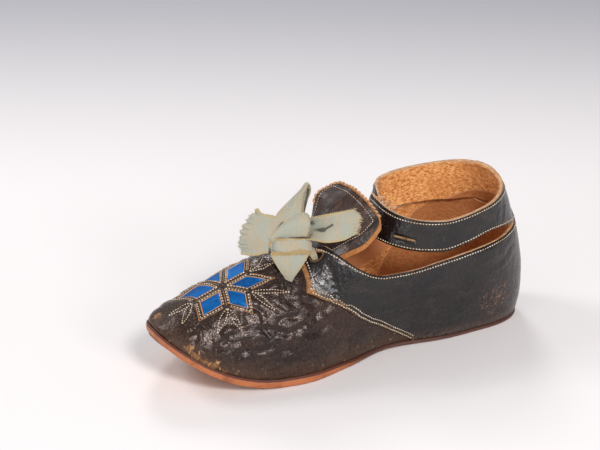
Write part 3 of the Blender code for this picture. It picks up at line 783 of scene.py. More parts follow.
def change_star(places, first, second):
    """Moves places from one star's spokes to another's, sector by sector."""
    result = np.zeros_like(places)
    best = np.full(len(places), -1e9)
    for k in range(6):
        pair = np.column_stack((first[k], first[(k + 1) % 6]))
        share = places @ np.linalg.inv(pair).T
        inside = share.min(axis=1)
        here = inside > best
        result[here] = (share @ np.vstack((second[k], second[(k + 1) % 6])))[here]
        best[here] = inside[here]
    return result


star_true = change_star(flat_cut - star_middle, star_spokes, STAR_TRUE)
turn = np.degrees(np.arctan2(star_true[:, 1], star_true[:, 0])) % 60.0
reach = np.linalg.norm(star_true, axis=1)
from_petal = np.radians(np.abs(turn - 30.0))
petal_high = reach * np.sin(math.pi / 6 + from_petal) / math.sin(math.pi / 3)
petal_low = reach * np.sin(math.pi / 6 - from_petal) / math.sin(math.pi / 3)
petal_open = ease(PETAL_LOW - 0.2, PETAL_LOW + 0.15, petal_low)
petal_open *= 1.0 - ease(PETAL_HIGH - 0.15, PETAL_HIGH + 0.2, petal_high)

face = lining + outward * VAMP_WALL
relief = creased(face, VAMP_CREASES) + 0.6 * creased(face * (1.0, -1.0, 1.0), VAMP_CREASES)
relief *= 1.0 - 0.8 * (1.0 - ease(9.0, 12.0, reach))
relief += 0.14 * leather_lumps(lining, 11.0, 3)
bent = ease(-84.0, -66.0, lining[:, 0]) * (1.0 - 0.6 * ease(-26.0, -6.0, lining[:, 0]))
bent *= ease(9.0, 13.0, reach)
relief += bent * 0.31 * leather_folds(lining, 13.0, 31, (1.0, 1.0, 1.5))
small_folds = 0.08 * leather_folds(lining, 5.5, 32, (1.2, 1.0, 1.0)) + 0.035 * leather_lumps(lining, 2.2, 5)
relief += (0.3 + 0.7 * bent) * small_folds
relief *= ease(0.0, 2.5, above_sole(lining)) * (1.0 - ease(0.486, 0.5, vamp_cut[:, 2]))
relief -= 0.15 * ease(0.492, 0.502, vamp_cut[:, 2])
relief -= 0.32 * petal_open
set_points(vamp_mesh, lining + outward * (VAMP_WALL + relief)[:, None])
set_numbers(vamp_mesh, "star", star_true, above_sole(lining))
vamp_tree = tree_of(vamp_mesh)
flat_mesh = vamp_mesh.copy()
set_points(flat_mesh, np.column_stack((flat_cut, np.zeros(len(flat_cut)))))
flat_tree = tree_of(flat_mesh)


def on_vamp(places):
    """Points on the vamp's face from places in the star's own plan."""
    spots = []
    for place in change_star(np.array(places, float), STAR_TRUE, star_spokes) + star_middle:
        _, _, face, _ = flat_tree.find_nearest((place[0], place[1], 0.0))
        corners = vamp_mesh.polygons[face].vertices[:3]
        flat = [flat_mesh.vertices[i].co for i in corners]
        solid = [vamp_mesh.vertices[i].co for i in corners]
        spots.append(barycentric_transform(Vector((place[0], place[1], 0.0)), *flat, *solid))
    return np.array(spots)


def rows_at(at, begin, rows):
    """Reads rows of numbers between the places where they begin."""
    return np.column_stack([np.interp(at, begin, column) for column in rows.T])


def evenly(path, pitch):
    """Points along a path at an even pitch."""
    begin = run_along(path)
    count = max(int(round(begin[-1] / pitch)), 1)
    return rows_at(np.linspace(0.0, begin[-1], count + 1), begin, path)


STITCH_PITCH = 1.1
STITCH = (0.86, 0.50, 0.36)


def sew(work, path, tree, pitch=STITCH_PITCH, size=STITCH, slant=0.0, sink=0.05):
    """Lays one small bulged stitch on a surface for each step of a path."""
    spots = evenly(path, pitch)
    for start, end in zip(spots, spots[1:]):
        spot, normal, _, _ = tree.find_nearest(Vector((start + end) / 2.0))
        ahead = Vector(end - start)
        ahead = (ahead - normal * ahead.dot(normal)).normalized()
        ahead = Matrix.Rotation(slant, 3, normal) @ ahead
        side = normal.cross(ahead)
        turned = Matrix((ahead * size[0] / 2.0, side * size[1] / 2.0, normal * size[2] / 2.0)).transposed()
        matrix = Matrix.Translation(spot + normal * (size[2] / 2.0 - sink)) @ turned.to_4x4()
        bmesh.ops.create_icosphere(work, subdivisions=1, radius=1.0, matrix=matrix)


def sewn_piece(name, work, finish):
    mesh = meshed(name, work)
    in_place(mesh)
    piece = new_piece(name, mesh, finish)
    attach(piece, "root")


thread_finish = Finish("waxed linen thread")
thread_spots = thread_finish.spots()
thread_age = thread_finish.noise(thread_spots, 0.35, 3.0, 0.6)
thread_twist = thread_finish.noise(thread_spots, 5.0, 2.0)
thread_colour = thread_finish.mix(thread_age.rise(0.35, 0.65), (0.80, 0.70, 0.56), (0.50, 0.36, 0.235))
thread_bump = thread_finish.bump(thread_twist, 0.4, 0.08)
thread_rough = thread_age.rise(0.3, 0.7, 0.5, 0.65)
thread_finish.coat(Base_Color=thread_colour, Roughness=thread_rough, Normal=thread_bump)

# Rows of stitches beside each spoke, round each petal, and the two rows of each leaf
ROW_BESIDE = 0.74
SPOKE_START = 1.75
SPOKE_END = 8.9
ROW_OUTSIDE = 9.0
LEAF_PITCH = 0.98
LEAF_STITCH = (0.74, 0.42, 0.32)
work = bmesh.new()
for k in range(6):
    spoke = STAR_TRUE[k] / STAR_REACH
    across = np.array((-spoke[1], spoke[0]))
    after = STAR_TRUE[(k + 1) % 6] / STAR_REACH
    for side in (-1.0, 1.0):
        start = spoke * ROW_BESIDE * SPOKE_START + across * side * ROW_BESIDE
        end = spoke * SPOKE_END + across * side * ROW_BESIDE
        sew(work, on_vamp(np.linspace(start, end, 12)), vamp_tree)
        root = spoke * (STAR_REACH + 0.5)
        leaf = np.array(LEAF_ENDS[k][0 if side < 0.0 else 1]) - root
        wide = np.array((-leaf[1], leaf[0])) / np.linalg.norm(leaf)
        for edge in (-1.0, 1.0):
            t = np.linspace(0.0, 1.0, 14)[:, None]
            bulge = np.sin(math.pi * t**0.8) * LEAF_HALF * edge
            sew(work, on_vamp(root + leaf * t + wide * bulge), vamp_tree, LEAF_PITCH, LEAF_STITCH)
    corner = (spoke + after) * ROW_OUTSIDE
    for other in (spoke, after):
        end = other * ROW_OUTSIDE + (spoke + after - other) * 1.2
        sew(work, on_vamp(np.linspace(corner, end, 12)), vamp_tree)
sewn_piece("star_stitching", work, thread_finish.material)

# Its lining side and its cut edge show only where the throat opens
edge_finish = Finish("cut edge of leather")
edge_spots = edge_finish.spots()
edge_wear = edge_finish.noise(edge_spots, 0.5, 4.0, 0.65)
edge_fibre = edge_finish.noise(edge_spots, 3.0, 3.0, 0.6)
edge_tone = edge_finish.mix(edge_wear.rise(0.38, 0.62), (0.64, 0.37, 0.19), (0.44, 0.215, 0.10))
edge_bump = edge_finish.bump(edge_fibre, 0.5, 0.15)
edge_finish.coat(Base_Color=edge_tone, Roughness=edge_fibre.rise(0.2, 0.8, 0.55, 0.8), Normal=edge_bump)

lining_finish = Finish("suede lining")
lining_at = lining_finish.spots(shift=(-MIDDLE_X, 0.0, 0.0))
lining_x, _, lining_z = lining_finish.parts(lining_at)
nap = lining_finish.noise(lining_finish.spots((1.0, 1.0, 1.6)), 0.75, 5.0, 0.72, 0.6) * 0.6
nap = nap + lining_finish.noise(lining_finish.spots((0.5, 0.5, 2.2)), 1.3, 4.0, 0.7, 0.8) * 0.4
weave = lining_finish.cells(lining_at, 1.5)
rubbed = lining_finish.noise(lining_at, 0.09, 4.0, 0.6)
# Smooth leather lines the forepart of the quarters, and a heel lining is pasted in behind
smooth_part = (lining_x - (lining_z - 17.7) * 3.0).rise(8.2, 6.8) * lining_z.rise(37.5, 36.5)
smooth_part = smooth_part * lining_x.rise(25.0, 23.0)
heel_edge = ((lining_x - 34.5) * 1.2 + 38.0).least((lining_x - 47.5) * 0.42 + 41.0) - lining_z
heel_piece = heel_edge.rise(-0.15, 0.15)
lining_tone = lining_finish.layered(
    lining_finish.mix(nap.rise(0.44, 0.59), (0.62, 0.21, 0.043), (1.0, 0.57, 0.23)),
    (nap.rise(0.46, 0.40) * 0.55, (0.30, 0.085, 0.02)),
    (rubbed.rise(0.46, 0.68) * 0.4, (0.62, 0.23, 0.06)),
    (smooth_part, lining_finish.mix(rubbed.rise(0.35, 0.7), (0.66, 0.29, 0.12), (0.50, 0.20, 0.075))),
    (heel_piece * 0.75, (0.42, 0.155, 0.052)),
    (heel_edge.band(0.1, 0.25, 0.25) * 0.6, (0.66, 0.33, 0.15)),
)
lining_bump = (nap * 0.7 + weave * 0.6) * (1.0 - smooth_part * 0.8) + heel_piece * 0.6
lining_bump = lining_finish.bump(lining_bump, 0.7, 0.35)
lining_finish.coat(Base_Color=lining_tone, Roughness=nap.rise(0.2, 0.8, 0.8, 0.95), Normal=lining_bump)
inner_sides = (lining_finish.material, edge_finish.material)

vamp_finish = Finish("creased black brown goatskin")
vamp_at = vamp_finish.spots(shift=(-MIDDLE_X, 0.0, 0.0))
at_x, _, _ = vamp_finish.parts(vamp_at)
star_x, star_y, foot_height = vamp_finish.cut("star")
star_far = (star_x * star_x + star_y * star_y) ** 0.5
star_turn = vamp_finish.node("ShaderNodeMath", {"operation": "ARCTAN2"}, star_y, star_x)
star_fold = abs((star_turn + 4.0 * math.pi).math("MODULO", math.pi / 3) - math.pi / 6)
high = star_far * (star_fold + math.pi / 6).wave() * (1.0 / math.sin(math.pi / 3))
low = star_far * (math.pi / 6 - star_fold).wave() * (1.0 / math.sin(math.pi / 3))
inlay = low.rise(PETAL_LOW - 0.08, PETAL_LOW + 0.08) * high.rise(PETAL_HIGH + 0.08, PETAL_HIGH - 0.08)
opening = low.rise(PETAL_LOW - 0.42, PETAL_LOW - 0.3) * high.rise(PETAL_HIGH + 0.45, PETAL_HIGH + 0.33)
raw_edge = opening * (1.0 - inlay)
outer_edge = high.band(9.55, 0.10, 0.12) * low.rise(0.9, 1.4)
spoke_edge = low.band(0.0, 0.10, 0.16) * high.rise(9.6, 9.0) * high.rise(1.4, 2.0)
grain = vamp_finish.cells(vamp_at, 1.05)
fine = vamp_finish.noise(vamp_at, 0.95, 5.0, 0.72)
broad = vamp_finish.noise(vamp_at, 0.075, 4.0, 0.6, 0.8)
patch = vamp_finish.noise(vamp_finish.spots((0.6, 0.6, 1.3), (17.0, 4.0, 0.0)), 0.16, 4.0, 0.65, 0.5)
glint = vamp_finish.noise(vamp_at, 1.15, 1.5, 0.5) * 0.55 + vamp_finish.noise(vamp_at, 2.6, 1.5, 0.5) * 0.3
crackle = vamp_finish.cells(vamp_finish.spots(shift=(3.0, 9.0, 1.0)), 0.55, "DISTANCE_TO_EDGE")
lit_patch = patch.rise(0.44, 0.62)
foot_wear = foot_height.rise(9.0, 0.5) * fine.rise(0.3, 0.6)
pale_dot = vamp_finish.cells(vamp_finish.spots(shift=(7.0, 2.0, 5.0)), 0.42).rise(0.16, 0.10)
pale_dot = pale_dot * foot_height.rise(7.0, 2.0)
SCUFFS = (
    (-80.9, 3.1, 24.3, 3.0), (-79.6, 0.6, 22.2, 2.2), (-76.4, -14.2, 18.6, 2.6), (-74.6, -16.2, 16.0, 3.4),
    (-72.4, -17.6, 13.6, 3.4), (-69.4, -19.6, 12.0, 3.6), (-66.0, -21.2, 10.0, 2.6), (-62.0, -22.4, 8.4, 2.0),
)
scuffed = None
for x, y, z, size in SCUFFS:
    near = vamp_finish.far(vamp_at, (x, y, z)).rise(size * 1.5, 0.0)
    scuffed = near if scuffed is None else scuffed.most(near)
streak = vamp_finish.noise(vamp_finish.spots((1.0, 1.0, 0.45)), 0.75, 5.0, 0.65, 0.8)
scuff_share = (scuffed * 0.55 + streak).rise(0.84, 0.95) * scuffed.rise(0.0, 0.15)
crack_share = crackle.rise(0.035, 0.0) * patch.rise(0.35, 0.55)
leather = vamp_finish.layered(
    vamp_finish.mix(broad.rise(0.35, 0.65), (0.006, 0.0035, 0.003), (0.020, 0.0105, 0.008)),
    (lit_patch * 0.6, (0.034, 0.018, 0.013)),
    (fine.rise(0.55, 0.7) * 0.45, (0.11, 0.066, 0.05)),
    (at_x.rise(-62.0, -80.0) * 0.5, (0.045, 0.022, 0.012)),
    (foot_wear * 0.6, (0.085, 0.037, 0.014)),
    (pale_dot * 0.8, (0.40, 0.27, 0.16)),
    (scuff_share * 0.85, vamp_finish.mix(streak.rise(0.5, 0.7), (0.20, 0.092, 0.034), (0.56, 0.31, 0.115))),
    (crack_share * 0.5, (0.14, 0.085, 0.06)),
    (inlay, vamp_finish.mix(broad.rise(0.3, 0.7), (0.003, 0.10, 0.36), (0.004, 0.14, 0.43))),
    (raw_edge * 0.95, (0.50, 0.265, 0.12)),
    ((outer_edge * 0.8).most(spoke_edge * 0.55), (0.40, 0.21, 0.10)),
)
vamp_rough = fine * 0.26 + 0.15 - lit_patch * 0.07 + foot_wear * 0.2 + scuff_share * 0.25 + inlay * 0.25
vamp_height = glint * (1.0 - inlay) + grain * 0.16 - crack_share * 0.3 - raw_edge * 0.3 - inlay * 0.8
vamp_bump = vamp_finish.bump(vamp_height, 1.0, 0.22)
vamp_finish.coat(Base_Color=leather, Roughness=vamp_rough, Metallic=inlay * 0.8, Normal=vamp_bump)
vamp_finish.coat(Specular_Tint=(1.0, 0.84, 0.8))


def walled(piece, thickness, group=""):
    """Gives a face its wall, inwards, with the lining inside and the cut edge round it."""
    wall = piece.modifiers.new("wall", "SOLIDIFY")
    wall.thickness = thickness * MM
    wall.offset = -1.0
    wall.material_offset = 1
    wall.material_offset_rim = 2
    wall.vertex_group = group


in_place(vamp_mesh)
vamp = new_piece("vamp", vamp_mesh, vamp_finish.material, *inner_sides)
walled(vamp, VAMP_WALL - 0.5)
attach(vamp, "root")
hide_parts("upper")


# Quarters and strap: two quarters of smoother black calf lap the vamp with a pinked tan edge, and the
# ankle strap is cut in one with them behind the heel, its near end lapped over the far one in front.
STRAP_TABLE = {
    "turn": (0, 30, 60, 100, 140, 165, 180),
    "low": (40.6, 40.4, 39.8, 39.2, 39.4, 39, 38.6),
    "high": (52.6, 52, 51.8, 52.2, 54, 55.4, 56),
}
RING_TILT = 0.05
RING_POWER = 2.3
RING_LEAN_FRONT = 4.0
RING_LEAN_BACK = 3.6
NEAR_OPEN = 2.8
NEAR_RISE = 1.5
END_TUCK = 1.5
BACK_COLUMNS = 24
JOINED = 3
REFINED = 5
STRAP_STEPS = {0: 26, 1: 30}
STRAP_ENDS = {0: -16.0, 1: -46.0}
EYELET_RADIUS = 1.7
EYELET = (-24.6, 9.4, 41.0)
BUTTONHOLE = ((5.5, -11.9, 43.9), (7.9, -15.0, 43.7), (10.7, -17.5, 43.2))


def ring_point(turn, level, inward=0.0):
    """The ankle strap's inner face: turn 0 at its front, + to the near side, 180 at the heel."""
    a = np.radians(turn)
    reach = (RING_BACK_X - RING_FRONT_X) / 2.0
    c = np.cos(a)
    s = np.sin(a)
    low = 1.0 - level
    front = reach + np.where(c > 0.0, RING_LEAN_FRONT, RING_LEAN_BACK) * low - inward
    x = (RING_FRONT_X + RING_BACK_X) / 2.0 - np.sign(c) * np.abs(c) ** (2.0 / RING_POWER) * front
    y = -np.sign(s) * np.abs(s) ** (2.0 / RING_POWER) * (RING_HALF - inward)
    sag = ease(25.0, 60.0, -turn) * (1.0 - ease(118.0, 150.0, -turn)) * low
    lower = read(STRAP_TABLE, "turn", "low", np.abs(turn))
    upper = read(STRAP_TABLE, "turn", "high", np.abs(turn))
    opened = NEAR_OPEN * ease(72.0, 114.0, turn) * low
    crest = NEAR_RISE * ease(75.0, 105.0, turn) * (1.0 - ease(135.0, 172.0, turn))
    z = lower + (upper - lower) * level + RING_TILT * y + (opened + crest)
    return np.stack((x, y - sag * FAR_TUCK, z - sag * FAR_SAG), axis=-1)


def raised(points, girth, side):
    """The far quarter's soft top edge stands up a little more where its slit ends."""
    bulge = side * ease(28.0, 37.0, points[:, 0]) * (1.0 - ease(50.0, 56.0, points[:, 0]))
    return points + np.outer(bulge * ease(0.7, 1.0, girth), (0.0, -0.7, 2.6))


def quarter_points(side, column, girth):
    """Points of a quarter's lining, not yet mirrored, and which half each is in."""
    far = np.full(len(girth), float(side))
    return raised(last_point(column_angle(column, girth), girth, far), girth, side), far


def quarter_half(side):
    def shape(across, along):
        points, far = quarter_points(side, 0.5 + 0.5 * along, across)
        points[(along == 1.0) | ((along == 0.0) & (across == 1.0)), 1] = 0.0
        return mirrored(points, far), np.column_stack((far, across, np.zeros(len(across))))

    return shape


def strap_half(side):
    steps = STRAP_STEPS[side]

    def joined(k):
        """The quarter's top at some of its last columns, and how far round the strap that is."""
        bottom, far = quarter_points(side, 1.0 - k / BACK_COLUMNS / 2.0, np.ones(len(k)))
        bottom[k == 0.0, 1] = 0.0
        share = np.minimum((np.abs(bottom[:, 1]) / RING_HALF) ** (RING_POWER / 2.0), 1.0)
        return mirrored(bottom, far), 180.0 - np.degrees(np.arcsin(share))

    def shape(level, along):
        k = along * (JOINED + steps)
        sign = -1.0 if side else 1.0
        bottom, turn = joined(np.minimum(k, JOINED))
        rooted = bottom + (ring_point(sign * turn, 1.0) - bottom) * level[:, None]
        rooted[k == 0.0, 1] = 0.0
        share = np.maximum(k - JOINED, 0.0) / steps
        round_turn = turn + (STRAP_ENDS[side] - turn) * share
        inward = side * (STRAP_WALL + 2.0 * GAP) * (1.0 - ease(20.0, 62.0, round_turn))
        free = ring_point(sign * round_turn, level, inward)
        free += (rooted - ring_point(sign * turn, level)) * (1.0 - ease(0.0, 0.3, share))[:, None]
        # The end that lies inside the other stays below its rim
        free[:, 2] -= side * END_TUCK * (1.0 - ease(0.0, 30.0, round_turn)) * level
        points = np.where((k <= JOINED)[:, None], rooted, free)
        return points, np.column_stack((np.full(len(k), 2.0 + side), level, share))

    return shape


work = bmesh.new()
for side in (0, 1):
    half = spread_grid("quarter_half", 64, BACK_COLUMNS * REFINED, quarter_half(side))
    work.from_mesh(half)
    half = spread_grid("strap_half", 22, (JOINED + STRAP_STEPS[side]) * REFINED, strap_half(side))
    work.from_mesh(half)
quarter_mesh = meshed("quarters_and_strap", work)
quarter_lining, quarter_out = wall_normals(quarter_mesh, (18.0, 0.0, 30.0))

quarter_cut = get_numbers(quarter_mesh, "cut")
on_strap = quarter_cut[:, 0] > 1.5
quarter_wall = np.where(on_strap, STRAP_WALL, QUARTER_WALL)
rooted = on_strap & (quarter_cut[:, 2] < 0.02)
thinning = QUARTER_WALL + (STRAP_WALL - QUARTER_WALL) * ease(0.0, 0.4, quarter_cut[:, 1])
quarter_wall = np.where(rooted, thinning, quarter_wall)

# The edges of the cut: down the front of each quarter, and round the top of it to the slit's end
EDGE_ROWS = 90
FRONT_ROWS = np.linspace(0.0, 1.0, EDGE_ROWS)


def quarter_column(side, column):
    return mirrored(*quarter_points(side, np.full(EDGE_ROWS, column), FRONT_ROWS))


def quarter_front(side):
    return quarter_column(side, 0.5)


def quarter_top(side):
    columns = np.linspace(0.5, 1.0 - JOINED / BACK_COLUMNS / 2.0, EDGE_ROWS)
    return mirrored(*quarter_points(side, columns, np.ones(EDGE_ROWS)))


OUT_OF_REACH = 1e3
front_far = np.full(len(quarter_lining), OUT_OF_REACH)
top_far = np.full(len(quarter_lining), OUT_OF_REACH)
front_along = np.zeros(len(quarter_lining))
for side in (0, 1):
    here = (quarter_lining[:, 1] > 0.0) == bool(side)
    gap, share = path_distance(quarter_lining[here], quarter_front(side)[::3])
    front_far[here] = gap
    front_along[here] = share
    top_far[here] = path_distance(quarter_lining[here], quarter_top(side)[::3])[0]
front_far[on_strap] = OUT_OF_REACH
top_far[on_strap] = OUT_OF_REACH

QUARTER_CREASES = (
    (((-16, -16, 33), (-10, -19, 26), (-2, -20, 19)), 0.16, 1.6),
    (((34, -19, 32), (41, -18, 33), (48, -16, 36)), 0.35, 1.2),
    (((38, -20, 27), (45, -19, 28.5), (53, -15, 33)), 0.26, 1.3),
    (((50.5, -13, 39), (54, -11, 35), (56, -9, 30)), 0.25, 1.1),
)
STRAP_CREASES = (
    (((44, -18, 42), (46, -17.5, 46), (46.5, -16, 52)), 0.30, 1.2),
    (((30, -21.5, 42), (31, -21.5, 46), (30, -21, 51)), 0.14, 1.5),
)
quarter_face = quarter_lining + quarter_out * quarter_wall[:, None]
quarter_relief = creased(quarter_face, QUARTER_CREASES + STRAP_CREASES)
quarter_relief += 0.6 * creased(quarter_face * (1.0, -1.0, 1.0), QUARTER_CREASES)
quarter_relief += 0.12 * leather_lumps(quarter_lining, 15.0, 8) + 0.03 * leather_lumps(quarter_lining, 3.2, 9)
quarter_relief += 0.05 * leather_folds(quarter_lining, 12.0, 33, (1.0, 1.0, 0.6))
quarter_relief *= ease(0.0, 2.5, np.where(on_strap, 9.0, above_sole(quarter_lining)))
# A soft roll at the edges, and the slit of the buttonhole
quarter_relief -= 0.35 * (1.0 - ease(0.0, 1.2, top_far)) + 0.25 * (1.0 - ease(0.0, 0.9, front_far))
strap_level = np.where(on_strap, quarter_cut[:, 1], 0.5)
quarter_relief -= 0.3 * np.where(on_strap & ~rooted, (np.abs(strap_level - 0.5) * 2.0) ** 10, 0.0)
hole_far, _ = path_distance(quarter_face, BUTTONHOLE)
near_strap = on_strap & (quarter_lining[:, 1] < 0.0) & (quarter_cut[:, 0] < 2.5)
hole_far = np.where(near_strap, hole_far, OUT_OF_REACH)
quarter_relief -= 0.7 * np.exp(-((hole_far / 0.6) ** 2)) * (hole_far < 30.0)
set_points(quarter_mesh, quarter_lining + quarter_out * (quarter_wall + quarter_relief)[:, None])
set_numbers(quarter_mesh, "edge", front_far, front_along, hole_far)

# The eyelets are punched through each tab, and the hole's edge is left raw
work = bmesh.new()
work.from_mesh(quarter_mesh)
bored = work.verts.layers.float_vector.new("eyelet")
for vert in work.verts:
    vert[bored] = (90.0, 0.0, 0.0)
for side in (-1.0, 1.0):
    axis = Vector((0.1, side * 0.5, 0.86)).normalized()
    centre = Vector((EYELET[0], side * EYELET[1], EYELET[2]))
    inside = []
    for vert in work.verts:
        away = vert.co - centre
        if away.length < 12.0 and vert.co.y * side > 0.0:
            across = away - axis * away.dot(axis)
            vert[bored] = (across.length, 0.0, 0.0)
            if across.length < EYELET_RADIUS:
                inside.append(vert)
    rim = {v for vert in inside for face in vert.link_faces for v in face.verts} - set(inside)
    bmesh.ops.delete(work, geom=inside, context="VERTS")
    for vert in rim:
        away = vert.co - centre
        along = axis * away.dot(axis)
        vert.co = centre + along + (away - along).normalized() * EYELET_RADIUS
        vert[bored] = (EYELET_RADIUS, 0.0, 0.0)
work.to_mesh(quarter_mesh)
work.free()
quarter_tree = tree_of(quarter_mesh)

calf_finish = Finish("black calf of the quarters")
calf_at = calf_finish.spots(shift=(-MIDDLE_X, 0.0, 0.0))
calf_x, _, calf_z = calf_finish.parts(calf_at)
front_gap, front_share, hole_gap = calf_finish.cut("edge")
eyelet_gap = calf_finish.cut("eyelet")[0]
strap_part, strap_high, _ = calf_finish.cut("cut")
pores = calf_finish.cells(calf_at, 1.6)
calf_fine = calf_finish.noise(calf_at, 0.9, 5.0, 0.7)
calf_broad = calf_finish.noise(calf_at, 0.065, 4.0, 0.6, 0.6)
calf_patch = calf_finish.noise(calf_finish.spots((0.8, 0.8, 1.6), (5.0, 1.0, 3.0)), 0.13, 4.0, 0.65, 0.4)
heelward = calf_x.rise(26.0, 52.0) * calf_z.rise(38.0, 16.0)
speckle = (calf_fine * 0.75 + calf_patch * 0.5).rise(0.72, 0.82)
heel_far = calf_finish.far(calf_at, (44.5, -17.0, 14.0))
scratch = calf_finish.noise(calf_finish.spots((1.0, 1.0, 0.55)), 1.25, 5.0, 0.75, 1.6)
scratch = scratch + heel_far.rise(4.0, 13.0, 0.06, -0.08)
calf_foot = calf_z.rise(7.0, 2.2) * calf_fine.rise(0.35, 0.6)
# The pinked band's width shrinks from the tab to the long slanting run
slanting = front_share.rise(0.72, 0.65)
band_width = 1.55 - slanting * 0.7
scallop = abs((front_share * 88.0).wave()) * 0.35
pinked = (front_gap - band_width - scallop + (calf_fine - 0.5) * 0.3).rise(0.12, -0.12)
band_tone = calf_finish.layered(
    calf_finish.mix(calf_fine.rise(0.4, 0.65), (0.36, 0.155, 0.042), (0.20, 0.08, 0.022)),
    (slanting * 0.75, (0.15, 0.095, 0.052)),
)
strap_rim = strap_part.rise(1.4, 1.6) * (strap_high + (calf_fine - 0.5) * 0.02).rise(0.962, 0.974)
# The pinking shears leave dark notches between the teeth
notch = (front_gap - abs((front_share * 150.0).wave()) * 0.75).rise(0.1, -0.1) * front_share.rise(0.55, 0.5)
hole_rim = hole_gap + (calf_fine - 0.5) * 0.8
calf = calf_finish.layered(
    calf_finish.mix(calf_broad.rise(0.35, 0.65), (0.004, 0.0035, 0.0042), (0.012, 0.009, 0.0095)),
    (calf_patch.rise(0.48, 0.66) * 0.5, (0.028, 0.020, 0.020)),
    (calf_fine.rise(0.58, 0.7) * 0.35, (0.085, 0.058, 0.048)),
    (heelward * 0.5, (0.034, 0.020, 0.018)),
    (speckle * (heelward * 0.8 + 0.10), (0.19, 0.105, 0.066)),
    (scratch.rise(0.62, 0.68) * heel_far.rise(13.0, 9.0) * 0.8, (0.40, 0.215, 0.105)),
    (calf_foot * 0.6, (0.11, 0.058, 0.036)),
    (pinked * 0.95, band_tone),
    (strap_rim * 0.9, (0.50, 0.285, 0.15)),
    (notch * 0.9, (0.012, 0.008, 0.006)),
    (eyelet_gap.band(EYELET_RADIUS + 0.1, 0.28, 0.2) * 0.9, (0.22, 0.125, 0.07)),
    # Painted shade: the buttonhole's slit is coloured near black for the dark of its opening, flecked with its
    # raw tan edge
    (hole_rim.rise(1.3, 0.8) * 0.9, (0.006, 0.004, 0.003)),
    (hole_rim.rise(0.62, 0.25) * calf_fine.rise(0.35, 0.55) * 0.9, (0.38, 0.21, 0.09)),
)
calf_rough = calf_fine * 0.28 + 0.13 + pinked * 0.3 + calf_foot * 0.12 + speckle * 0.15
calf_glint = calf_finish.noise(calf_at, 0.55, 1.5, 0.5)
calf_bump = calf_finish.bump(pores * 0.12 + calf_glint - pinked * 0.6, 1.0, 0.26)
calf_finish.coat(Base_Color=calf, Roughness=calf_rough, Normal=calf_bump)

in_place(quarter_mesh)
quarters = new_piece("quarters_and_strap", quarter_mesh, calf_finish.material, *inner_sides)
quarter_group = quarters.vertex_groups.new(name="wall")
for i, (part, _, _) in enumerate(get_numbers(quarter_mesh, "cut")):
    quarter_group.add([i], STRAP_WALL / QUARTER_WALL if part > 1.5 else 1.0, "REPLACE")
walled(quarters, QUARTER_WALL, "wall")
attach(quarters, "root")
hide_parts("upper")


def inset_path(path, tree, inset, toward):
    """A path moved over a surface by an inset, each point to the side on which its own mark lies."""
    moved = []
    for i, p in enumerate(path):
        ahead = Vector(path[min(i + 1, len(path) - 1)] - path[max(i - 1, 0)]).normalized()
        spot, normal, _, _ = tree.find_nearest(Vector(p))
        side = normal.cross(ahead).normalized()
        if side.dot(Vector(toward[i]) - spot) < 0.0:
            side = -side
        spot, _, _, _ = tree.find_nearest(Vector(p) + side * inset + normal * QUARTER_WALL)
        moved.append(spot)
    return np.array(moved)


# A few turns of thread tie the strap's two ends together over their rims
work = bmesh.new()
TIE_TURNS = (-6.0, -1.0, 3.0, 8.0, 12.0, 17.0)
for turn_at, lean in zip(TIE_TURNS, (0.5, -0.4, 0.3, -0.5, 0.4, -0.2)):
    turns = np.array((turn_at, turn_at + lean * 6.0))
    rim = ring_point(turns, np.ones(2))
    inner = ring_point(turns, np.ones(2), 2.6)
    start = Vector(rim[0] + (rim[0] - inner[0]) * 0.75)
    end = Vector(inner[1])
    ahead = (end - start) / 2.0
    side = ahead.cross(Vector((0.0, 0.0, 1.0))).normalized() * 0.42
    turned = Matrix((ahead, side, ahead.cross(side).normalized() * 0.6)).transposed()
    matrix = Matrix.Translation((start + end) / 2.0 + Vector((0.0, 0.0, 0.25))) @ turned.to_4x4()
    bmesh.ops.create_icosphere(work, subdivisions=2, radius=1.0, matrix=matrix)
sewn_piece("strap_tie", work, edge_finish.material)

# Rows of stitches: one along the tab and two down the slant, one inside the top edge of each
# quarter, and one inside both edges of the strap; how far each row lies inside its edge
SECOND_ROW = 2.6
FIRST_ROW = 1.2
TOP_ROW = 1.45
STRAP_ROW = 1.25
STRAP_WIDTH = 12.6
INNER_COLUMN = 0.62
TAB_FOOT_Z = 30.0
COVERED_FROM = 0.62
RING_MIDDLE = np.array(((RING_FRONT_X + RING_BACK_X) / 2.0, 0.0, 0.0))
work = bmesh.new()
for side in (0, 1):
    front = evenly(quarter_front(side), 0.6)
    corner = np.argmin(np.abs(front[:, 2] - TAB_FOOT_Z))
    inward = rows_at(np.linspace(0.0, 1.0, len(front)), FRONT_ROWS, quarter_column(side, INNER_COLUMN))
    sew(work, inset_path(front, quarter_tree, SECOND_ROW, inward)[2:-3], quarter_tree)
    sew(work, inset_path(front, quarter_tree, FIRST_ROW, inward)[2:corner], quarter_tree)
    top = evenly(quarter_top(side), 0.8)
    below = np.column_stack((top[:, :2], top[:, 2] - 8.0))
    sew(work, inset_path(top, quarter_tree, TOP_ROW, below)[3:-2], quarter_tree)
    last = 1.0 if side == 0 else COVERED_FROM
    edge_share = STRAP_ROW / STRAP_WIDTH
    lower_first = (JOINED + 0.4) / (JOINED + STRAP_STEPS[side])
    for level, first in ((1.0 - edge_share, 0.0), (edge_share, lower_first)):
        points, _ = strap_half(side)(np.full(150, level), np.linspace(first, last, 150))
        away = points - RING_MIDDLE
        away[:, 2] = 0.0
        away /= np.linalg.norm(away, axis=1, keepdims=True)
        sew(work, points + away * STRAP_WALL, quarter_tree)
    if side == 0:
        points, _ = strap_half(side)(np.linspace(0.1, 0.9, 30), np.full(30, 0.985))
        sew(work, points + (-STRAP_WALL, 0.0, 0.0), quarter_tree)
sewn_piece("seam_stitching", work, thread_finish.material)


